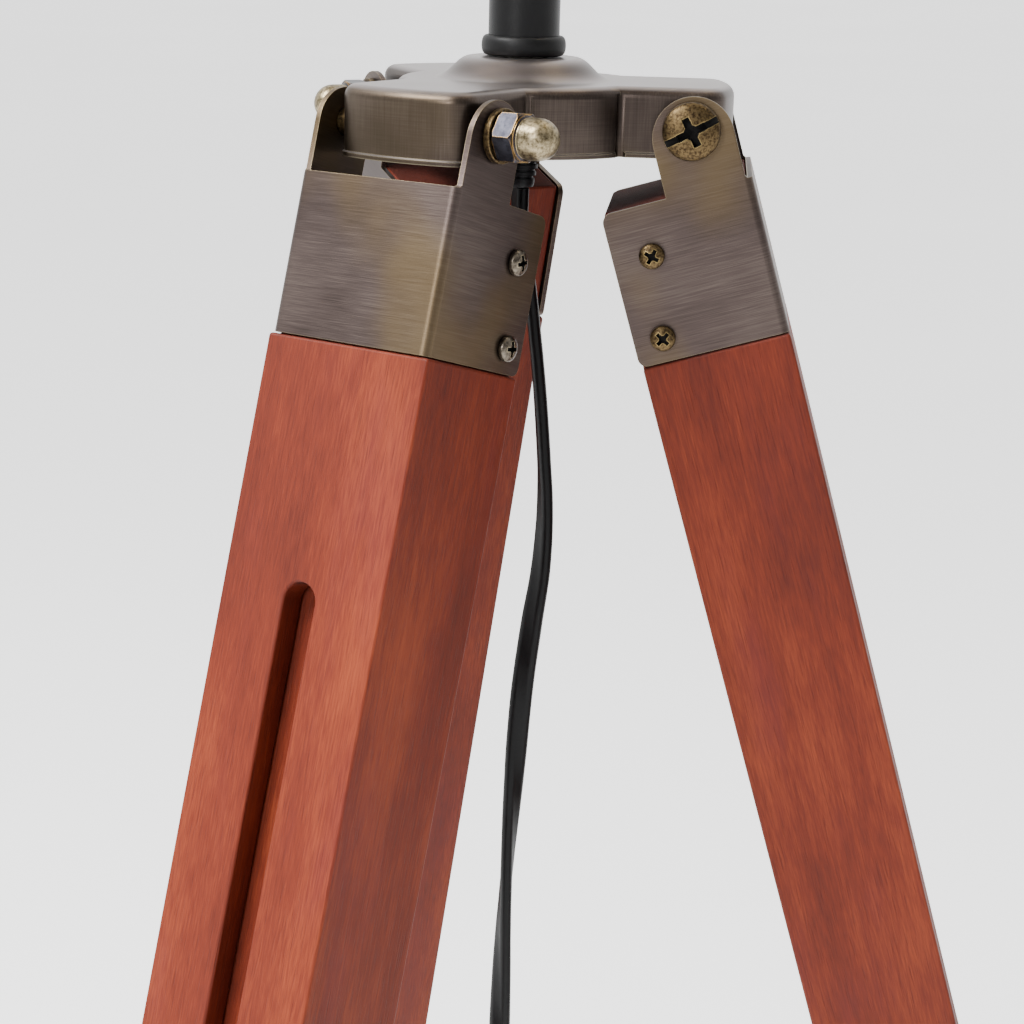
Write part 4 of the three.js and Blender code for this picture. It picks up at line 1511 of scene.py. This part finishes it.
@dataclass
class Timber:
    """The two wooden pieces of a leg."""

    front: float = 10.4
    back: float = -23.0
    half: float = 21.5
    head_half: float = 19.4
    head_front: float = 8.9
    top: float = 12.8
    shoulder: float = 48.2
    end: float = 612.8
    slot: float = 8.3
    slot_top: float = 99.0
    slot_bottom: float = 587.8
    hollow_back: float = -17.5
    hollow_front: float = 3.9
    hollow_half: float = 15.0
    hollow_top: float = 72.0
    lower_back: float = -17.2
    lower_front: float = 3.6
    lower_half: float = 14.7
    lower_top: float = 84.0
    lower_end: float = 940.0

    def upper(self) -> bpy.types.Object:
        """The upper leg: rebated head, hollow, and a slot in its outer wall.

        Returns:
            The piece, in the leg's frame.
        """
        body = boxed("upper_leg", (self.back, -self.half, -self.end),
                     (self.front, self.half, -self.shoulder))
        head = boxed("head", (self.back, -self.head_half, -(self.shoulder + 5)),
                     (self.head_front, self.head_half, -self.top))
        combined(body, "UNION", head)
        hollow = boxed("hollow", (self.hollow_back, -self.hollow_half, -(self.end + 5)),
                       (self.hollow_front, self.hollow_half, -self.hollow_top))
        radius = self.slot / 2
        ends = arc((0, -self.slot_top - radius), radius, 0, 180, 16)
        ends += arc((0, -self.slot_bottom + radius), radius, 180, 360, 16)
        slot = layered("slot", metres(ends), 0, [(0, 12 * MM)])
        moved(slot, shift(2, 0, 0) @ Matrix(((0, 0, 1, 0), (1, 0, 0, 0), (0, 1, 0, 0), (0, 0, 0, 1))))
        combined(body, "DIFFERENCE", hollow, slot)
        clean(body, 2e-6)
        return softened(body, 0.7 * MM, 3, 40)

    def lower(self) -> bpy.types.Object:
        """The lower leg.

        Returns:
            The piece, in the leg's frame.
        """
        body = boxed("lower_leg", (self.lower_back, -self.lower_half, -self.lower_end),
                     (self.lower_front, self.lower_half, -self.lower_top))
        hole = barred("stud_hole", BOLT_BORE * MM, *metres([(-8, 0, -STUD_DOWN), (9, 0, -STUD_DOWN)]), 32)
        combined(body, "DIFFERENCE", hole)
        return softened(body, 0.8 * MM, 3, 40)

    def foot(self, slope: float) -> bpy.types.Object:
        """The rubber foot.

        Args:
            slope: The tangent of the leg's tilt, which levels the sole.

        Returns:
            The foot.
        """
        back, front, half, reach = -19.5, 5.9, 17.0, 951.0
        rim = self.lower_end - 18
        side = [(back, -rim), (back, -reach - back * slope), (front, -reach - front * slope),
                (front, -rim)]
        foot = layered("foot", metres(side), -half * MM, [(0, 2 * half * MM)])
        moved(foot, spun(90, "X"))
        cup = boxed("cup", (self.hollow_back, -self.hollow_half, -(self.lower_end + 0.3)),
                    (self.hollow_front, self.hollow_half, -(rim - 5)))
        combined(foot, "DIFFERENCE", cup)
        groove = boxed("groove", (back - 2, -half - 1, -(rim + 4)), (back + 0.6, half + 1, -(rim + 3)))
        combined(foot, "DIFFERENCE", groove)
        return softened(clean(foot), 0.9 * MM, 3, 40)


@dataclass
class Fasteners:
    """The bolts, nuts, washers, screws and clamp knobs of a leg."""

    recess: bpy.types.Material
    dome: bpy.types.Material
    ear_face: float = 21.2
    clamp_face: float = 10.7

    @staticmethod
    def domed(radius: float, rim: float, rise: float, steps: int = 9) -> list[Point]:
        """A round head's profile from its rim to its crown."""
        return [(radius * math.cos(a), rim + rise * math.sin(a))
                for a in (math.pi / 2 * i / steps for i in range(steps + 1))]

    def cross(self, length: float, width: float, low: float, high: float) -> list[bpy.types.Object]:
        """The cutters of a cross recess: two blades and a bore.

        Args:
            length: The blades' length.
            width: Their width.
            low: The recess's floor.
            high: A height above the head.

        Returns:
            The cutters.
        """
        blades = [boxed("blade", (-a / 2, -b / 2, low), (a / 2, b / 2, high))
                  for a, b in ((length, width), (width, length))]
        bore = turned("bore", metres([(0, low - 0.5), (0.2 * length, low), (0.27 * length, high - 0.4),
                                           (0.27 * length, high), (0, high)]), 24)
        return [*blades, bore]

    def paint_recess_shade(self, piece: bpy.types.Object, crown: float, rim: float, radius: float) -> None:
        """Paints shade on the faces sunk in a round head, with a dark material of their own.

        Args:
            piece: The bolt or screw, its head up.
            crown: The crown's height in millimetres.
            rim: The height where the crown starts.
            radius: The head's radius.
        """
        # painted shade: the sunk faces of the slot and cross get a near-black material, where the recess
        # lies in shadow
        piece.data.materials.append(None)
        piece.data.materials.append(self.recess)
        for face in piece.data.polygons:
            x, y, z = face.center / MM
            reach = min(1.0, math.hypot(x, y) / radius)
            surface = rim + (crown - rim) * math.sqrt(1 - reach * reach)
            if z > 0 and reach < 0.97 and z < surface - 0.16:
                face.material_index = 1

    def bolt(self) -> bpy.types.Object:
        """The pivot bolt, its head on the -Y side, with a slot and a cross in one recess.

        Returns:
            The bolt, in the level frame.
        """
        profile = [(0, -54.2), (2.7, -54.2), (3, -53.9), (3, 0), (6.1, 0), (6.3, 0.2)]
        profile += self.domed(6.3, 1.2, 2.2)
        bolt = turned("pivot_bolt", metres(profile), 96)
        slot = boxed("slot", (-8, -0.75, 1.4), (8, 0.75, 5))
        combined(bolt, "DIFFERENCE", slot, *self.cross(6.6, 1.7, 0.7, 5))
        softened(clean(bolt, 2e-6), 0.12 * MM, 2, 40)
        self.paint_recess_shade(bolt, 3.4, 1.2, 6.3)
        return moved(bolt, shift(0, -self.ear_face, 0) @ spun(90, "X")
                     @ spun(28, "Z"))

    def washer(self) -> bpy.types.Object:
        """The washer under the cap nut."""
        washer = turned("washer", metres([(3.3, 0), (5.8, 0), (5.8, 1.6), (3.3, 1.6), (3.3, 0)]), 64)
        return moved(softened(washer, 0.3 * MM, 3), shift(0, self.ear_face, 0) @ TO_SIDE)

    def cap_nut(self) -> bpy.types.Object:
        """The cap nut: a chamfered hexagon and a round dome.

        Returns:
            The nut, in the level frame.
        """
        bpy.ops.object.select_all(action="DESELECT")
        bpy.ops.mesh.primitive_cylinder_add(vertices=6, radius=10 / math.sqrt(3) * MM, depth=4.8 * MM,
                                            location=(0, 0, 2.4 * MM))
        nut = fresh("cap_nut")
        chamfer = turned("chamfer", metres([(0, -1), (5.3, -1), (5.3, 0), (5.9, 0.7), (5.9, 4.1),
                                                 (5.3, 4.8), (5.3, 6), (0, 6)]), 64)
        combined(nut, "INTERSECT", chamfer)
        dome = [(0, 3.8), (4.75, 3.8), (4.75, 5.0), (4.15, 5.2), (4.15, 5.6), (4.4, 5.9), (4.4, 7.9)]
        dome += self.domed(4.4, 8.1, 4.5)[1:]
        combined(nut, "UNION", turned("dome", metres(dome), 64))
        hole = barred("hole", BOLT_BORE * MM, *metres([(0, 0, -1), (0, 0, 9.7)]))
        combined(nut, "DIFFERENCE", hole)
        softened(clean(nut, 2e-6), 0.16 * MM, 2, 28)
        nut.data.materials.append(None)
        nut.data.materials.append(self.dome)
        for face in nut.data.polygons:
            if face.center.z > 5.15 * MM:
                face.material_index = 1
        return moved(nut, shift(0, self.ear_face + 1.9, 0) @ TO_SIDE
                     @ spun(25, "Z"))

    def screw(self, turn: float) -> bpy.types.Object:
        """A pan-head screw on the +Y side, its cross turned by an angle in degrees.

        Args:
            turn: The cross's turn in degrees.

        Returns:
            The screw, its head outwards.
        """
        profile = [(0, -11), (0.3, -10.6), (1.3, -9.6), (1.3, 0), (2.75, 0), (2.85, 0.15)]
        profile += self.domed(2.85, 0.7, 1.2, 7)
        screw = turned("screw", metres(profile), 48)
        combined(screw, "DIFFERENCE", *self.cross(3.4, 0.85, 0.5, 3))
        softened(clean(screw, 2e-6), 0.07 * MM, 2, 40)
        self.paint_recess_shade(screw, 1.9, 0.7, 2.85)
        return moved(screw, shift(0, self.ear_face, 0) @ TO_SIDE
                     @ spun(turn, "Z"))

    def knob(self) -> bpy.types.Object:
        """The fluted clamp knob and its stud, along +X.

        Returns:
            The knob, in the leg's frame.
        """
        base = 1.8
        profile = [(0, -19.1), (3, -19.1), (3, base), (7, base), (7.2, base + 0.2), (7.2, base + 3.2),
                   (11.2, base + 5.6), (12, base + 6.6), (12, base + 14.6), (11.2, base + 16),
                   (9.6, base + 16.6), (9.2, base + 16.3), (0, base + 16.8)]
        knob = turned("clamp_knob", metres(profile), 96)
        for i in range(14):
            angle = 2 * math.pi * i / 14
            x, y = 12.9 * math.cos(angle) * MM, 12.9 * math.sin(angle) * MM
            flute = barred("flute", 1.9 * MM, (x, y, (base + 4) * MM), (x, y, (base + 20) * MM), 24)
            combined(knob, "DIFFERENCE", flute)
        softened(clean(knob, 2e-6), 0.2 * MM, 2, 40)
        return moved(knob, self.clamp_frame())

    def clamp_washer(self) -> bpy.types.Object:
        """The washer under the knob."""
        washer = turned("clamp_washer", metres([(3.3, 0), (9, 0), (9, 1.5), (3.3, 1.5), (3.3, 0)]), 64)
        return moved(softened(washer, 0.35 * MM, 3), self.clamp_frame())

    def clamp_frame(self) -> Matrix:
        """Where the clamp's pieces stand on the upper leg's outer face."""
        return shift(self.clamp_face, 0, -STUD_DOWN) @ TO_FRONT


@dataclass
class Legs:
    """The three legs, each modelled once and copied."""

    places: Sequence[LegPlace]
    recess: bpy.types.Material
    screws: tuple = ((14.9, 24.1), (17.0, 42.4))
    turns: tuple = (20.0, 47.0, 8.0, 33.0)

    def build(self, patina: bpy.types.Material, dark: bpy.types.Material, dome: bpy.types.Material,
              nickel: bpy.types.Material, rubber: bpy.types.Material) -> None:
        """Builds every leg's pieces.

        Args:
            patina: The aged brass's material.
            dark: The nuts' dark material.
            dome: The nuts' domes' material.
            nickel: The front screws' material.
            rubber: The black rubber's material.
        """
        tilt = math.acos(self.places[0].seat.col[2].z)
        timber, fasteners = Timber(), Fasteners(self.recess, dome)
        on_leg = {"bracket": Bracket().build(self.screws), "upper_leg": timber.upper()}
        on_extension = {"lower_leg": timber.lower(), "foot_pad": timber.foot(math.tan(tilt)),
                        "clamp_washer": fasteners.clamp_washer()}
        on_head = {"pivot_bolt": (fasteners.bolt(), patina, "antique_brass"),
                   "pivot_washer": (fasteners.washer(), patina, "dark_steel"),
                   "cap_nut": (fasteners.cap_nut(), dark, "dark_steel")}
        knob = fasteners.knob()
        screws = [fasteners.screw(turn) for turn in self.turns]
        for place in self.places:
            side = place.side
            timbers = StainedWood(f"stained_wood_{side}").made(place.seat)
            plate = BrushedPlate(f"brushed_plate_{side}").made(place.seat)
            looks = {"bracket": (plate, "antique_steel"), "upper_leg": (timbers, "stained_wood"),
                     "lower_leg": (timbers, "stained_wood"), "foot_pad": (rubber, "black_rubber"),
                     "clamp_washer": (patina, "antique_brass")}
            for body, group in ((f"{side}_leg", on_leg), (f"{side}_extension", on_extension)):
                for node, piece in group.items():
                    twin = copied(piece, f"{side}_{node}_skin", place.seat)
                    fitted(twin, looks[node][0], body, looks[node][1], f"{side}_{node}")
            for node, (piece, material, slot) in on_head.items():
                twin = copied(piece, f"{side}_{node}_skin", place.level)
                fitted(twin, material, Body.HEAD, slot, f"{side}_{node}")
            twin = copied(knob, f"{side}_clamp_knob_skin", place.seat)
            fitted(twin, patina, f"{side}_knob", "antique_brass", f"{side}_clamp_knob")
            self.screw_down(place, screws, nickel if side == "front" else patina)
        for piece in (*on_leg.values(), *on_extension.values(), knob, *screws,
                      *(entry[0] for entry in on_head.values())):
            bpy.data.objects.remove(piece)

    def screw_down(self, place: LegPlace, screws: Sequence[bpy.types.Object],
                   metal: bpy.types.Material) -> None:
        """Copies the four screws to their places on one bracket.

        Args:
            place: The leg's place.
            screws: The four screws.
            metal: Their material.
        """
        for row, (back, down) in zip(("upper", "lower"), self.screws):
            for hand, face in (("a", Matrix.Identity(4)), ("b", HALF_TURN)):
                screw = screws[2 * (row == "lower") + (hand == "b")]
                spot = place.seat @ shift(-back, 0, -down) @ face
                node = f"{place.side}_{row}_screw_{hand}"
                twin = copied(screw, f"{node}_skin", spot)
                fitted(twin, metal, f"{place.side}_leg", "zinc_steel", node)


# ---------------------------------------------------------------------------------------------
# Lampholder, bulb and shade
# ---------------------------------------------------------------------------------------------


@dataclass
class Top:
    """The lampholder, the bulb and the drum shade."""

    shade_radius: float = 224.98
    hem: float = 11.0
    arms: int = 3

    @staticmethod
    def profile(base: float, points: Sequence[Point]) -> list[Point]:
        """A profile above a base height, in metres."""
        return [(radius * MM, base + height * MM) for radius, height in points]

    def holder(self, plastic: bpy.types.Material) -> None:
        """The lampholder with its ribbed body, and the shade ring on its thread.

        Args:
            plastic: The moulded plastic's material.
        """
        low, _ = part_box("lampholder")
        points = [(8.3, 0), (10.4, 0), (11, 0.6), (11, 9.5), (13, 12.5), (17.6, 18), (19, 21)]
        for i in range(5):
            foot = 24 + 4.6 * i
            points += [(19, foot), (18.4, foot + 0.4), (18.4, foot + 1.2), (19, foot + 1.6)]
        points += [(19, 49.6), (18.6, 50), (17, 50)]
        for i in range(6):
            foot = 51 + 3 * i
            points += [(16.2, foot), (17, foot + 0.8), (17, foot + 1.6), (16.2, foot + 2.4)]
        points += [(16.6, 69.6), (16.2, 70), (14.2, 70), (14.2, 38), (4, 38), (4, 12), (8.3, 12), (8.3, 0)]
        holder = turned("lampholder_skin", self.profile(low[2], points), 80)
        fitted(smooth(holder), plastic, Body.HEAD, "black_plastic", "lampholder")
        low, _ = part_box("shade_ring")
        points = [(17.3, 0), (20.6, 0), (21, 0.4), (21, 5.4), (20.4, 6), (17.3, 6), (17.3, 0)]
        ring = turned("shade_ring_skin", self.profile(low[2], points), 96)
        for i in range(18):
            angle = 2 * math.pi * i / 18
            x, y = 21.5 * math.cos(angle) * MM, 21.5 * math.sin(angle) * MM
            notch = barred("notch", 1.3 * MM, (x, y, low[2] - MM), (x, y, low[2] + 8 * MM), 16)
            combined(ring, "DIFFERENCE", notch)
        fitted(smooth(clean(ring)), plastic, Body.HEAD, "black_plastic", "shade_ring")

    def bulb(self, zinc: bpy.types.Material, glass: bpy.types.Material) -> None:
        """The bulb's threaded cap and its pear-shaped glass.

        Args:
            zinc: The bright zinc's material.
            glass: The opal glass's material.
        """
        low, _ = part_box("bulb_cap")
        points = [(0, 0), (4.5, 0), (5.5, 0.6), (8, 3), (12, 5.5)]
        for i in range(6):
            foot = 6.5 + 3.4 * i
            points += [(12.5, foot), (13.3, foot + 0.9), (13.3, foot + 1.5), (12.5, foot + 2.4)]
        points += [(12.6, 27), (13.2, 28), (13.2, 31), (0, 31)]
        cap = turned("bulb_cap_skin", self.profile(low[2], points), 64)
        fitted(smooth(cap, 50), zinc, Body.HEAD, "zinc_steel", "bulb_cap")
        low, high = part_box("bulb_glass")
        tall = (high[2] - low[2]) / MM
        outer = self.pear(tall, 0)
        inner = self.pear(tall, 0.9)
        points = [*outer, *reversed(inner), outer[0]]
        bulb = turned("bulb_glass_skin", self.profile(low[2], points), 72)
        fitted(smooth(bulb, 60), glass, Body.HEAD, "opal_glass", "bulb_glass")

    @staticmethod
    def pear(tall: float, inset: float) -> list[Point]:
        """The bulb's profile from its neck to its crown.

        Args:
            tall: Its height in millimetres.
            inset: How far it is drawn in.

        Returns:
            The points, in millimetres.
        """
        neck, wide, centre = 12.8 - inset, 30.0 - inset, tall - 30
        points = []
        for i in range(15):
            t = i / 14
            heights = (0, 0.22 * tall, centre - 30, centre)
            widths = (neck, neck, wide, wide)
            weights = ((1 - t) ** 3, 3 * t * (1 - t) ** 2, 3 * t * t * (1 - t), t ** 3)
            points.append(tuple(sum(w * v for w, v in zip(weights, values))
                                for values in (widths, heights)))
        crown = [(math.radians(a)) for a in range(10, 90, 10)]
        points += [(wide * math.cos(a), centre + wide * math.sin(a)) for a in crown]
        return [*points, (0, centre + wide)]

    def shade(self, linen: bpy.types.Material, black: bpy.types.Material) -> bpy.types.Object:
        """The drum with rolled hems, its two wire rings and the spider that carries it.

        Args:
            linen: The fabric's material.
            black: The black steel's material.

        Returns:
            The drum.
        """
        low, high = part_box("shade_fabric")
        tall = (high[2] - low[2]) / MM
        outer, inner, hem = self.shade_radius, self.shade_radius - 1.2, self.hem
        middle = outer - 0.5
        points = [(inner, 0.4), (inner + 0.4, 0), (outer - 0.4, 0), (outer, 0.4), (outer, hem - 0.3),
                  (middle, hem + 0.2)]
        points += [(middle, hem + (tall - 2 * hem) * i / 12) for i in range(1, 12)]
        points += [(middle, tall - hem - 0.2), (outer, tall - hem + 0.3), (outer, tall - 0.4),
                   (outer - 0.4, tall), (inner + 0.4, tall), (inner, tall - 0.4), (inner, 0.4)]
        drum = turned("shade_drum", self.profile(low[2], points), 180)
        smooth(drum, 40)
        fitted(drum, linen, Body.HEAD, "linen", "shade_fabric")
        radius = self.shade_radius - 3.5
        rings = {}
        for name, height in (("top", high[2] - 2 * MM), ("lower", low[2] + 2 * MM)):
            section = arc((radius, 0), 2, 0, 360, 12)
            rings[name] = turned(f"shade_{name}_wire", self.profile(height, section), 144)
        fitted(smooth(rings["top"], 60), black, Body.HEAD, "black_steel", "shade_top_ring")
        self.spider(rings["lower"], black, low[2] + 2 * MM)
        return drum

    def spider(self, wire: bpy.types.Object, black: bpy.types.Material, height: float) -> None:
        """Welds the fitter and the arms to the lower wire ring.

        Args:
            wire: The lower wire ring.
            black: The black steel's material.
            height: The ring's height.
        """
        seat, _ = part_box("shade_ring")
        fitter_top = seat[2] - 0.3 * MM
        middle = fitter_top - MM
        points = [(17.3, -2), (22.7, -2), (23, -1.7), (23, -0.3), (22.7, 0), (17.3, 0), (17.3, -2)]
        fitter = turned("fitter", self.profile(fitter_top, points), 96)
        for i in range(self.arms):
            angle = math.radians(90 + 120 * i)
            way = Vector((math.cos(angle), math.sin(angle), 0))
            start = way * 22.4 * MM + Vector((0, 0, middle))
            end = way * (self.shade_radius - 3.5) * MM + Vector((0, 0, height))
            combined(fitter, "UNION", barred("arm", 1.6 * MM, start, end, 16))
        combined(fitter, "UNION", wire)
        fitter.name = "shade_spider_skin"
        fitted(smooth(clean(fitter), 50), black, Body.HEAD, "black_steel", "shade_spider")


# ---------------------------------------------------------------------------------------------
# The lamp
# ---------------------------------------------------------------------------------------------


def dress_inside(frame: dict, zinc: bpy.types.Material) -> None:
    """Paints the nipple, washer and nut inside the hub, which keep their own solids.

    Args:
        frame: The loaded frame.
        zinc: The bright zinc's material.
    """
    for node in ("hub_nipple", "hub_washer", "hub_nut"):
        piece = frame["nodes"][node]
        piece.data.materials.clear()
        piece.data.materials.append(zinc)
        log.info("%s is dressed", node)


def main() -> None:
    """Builds the whole lamp."""
    logging.basicConfig(level=logging.INFO, format="%(message)s")
    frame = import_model()
    legs = [LegPlace.find(side, frame["joints"]) for side in ("front", "right", "left")]
    level = legs[0].seat.translation.z
    studio = Studio()
    studio.camera(level)

    plastic = BlackCoat("black_plastic").made()
    rubber = BlackCoat("black_rubber", "060607", "141416", 0.38, 1500.0).made()
    black = BlackCoat("black_steel", "050506", "121214", 0.28, 3200.0).made()
    # painted shade for the sunk faces of the bolt and screw heads, not a coat that the heads have
    recess = BlackCoat("recess", "060504", "15110c", 0.7, 900.0).made()
    zinc = AgedMetal("bright_zinc", "76726b", "a8a49b", "d8d0bc", 500, 0.2).made()
    nickel = AgedMetal("aged_nickel", "3f3931", "6d655a", "ab9f84", 1100, 0.26).made()
    patina = AgedMetal("aged_brass", "2c2218", "5a4b33", "8f7c52", 1700, 0.32).made()
    dark = AgedMetal("blackened_steel", "222228", "3c3c43", "a5824a", 350, 0.24).made()
    dome = AgedMetal("bronzed_steel", "544a37", "93866a", "bdaf88", 1300, 0.26).made()

    cord, line = Cord(level).build()
    fittings = CordFittings(level, plastic, zinc)
    fittings.gland()
    body, button = fittings.switch()
    plug, pins = fittings.plug()
    tie = fittings.tie()
    fitted(cord, BlackCoat("cord_jacket", "050506", "121213", 0.3, 900.0, 0.15).made(), Body.HEAD,
           "black_plastic", "cord_drop", "cord_run", "cord_coil", "cord_tail")

    studio.build(level)
    Hub(level, legs).build(CastPewter("cast_pewter").made(), black, rubber)
    Legs(legs, recess).build(patina, dark, dome, nickel, rubber)
    top = Top()
    top.holder(plastic)
    top.bulb(zinc, OpalGlass("opal_glass").made())
    drum = top.shade(Linen("linen", 0.225).made(), black)
    dress_inside(frame, zinc)


if __name__ == "__main__":
    main()
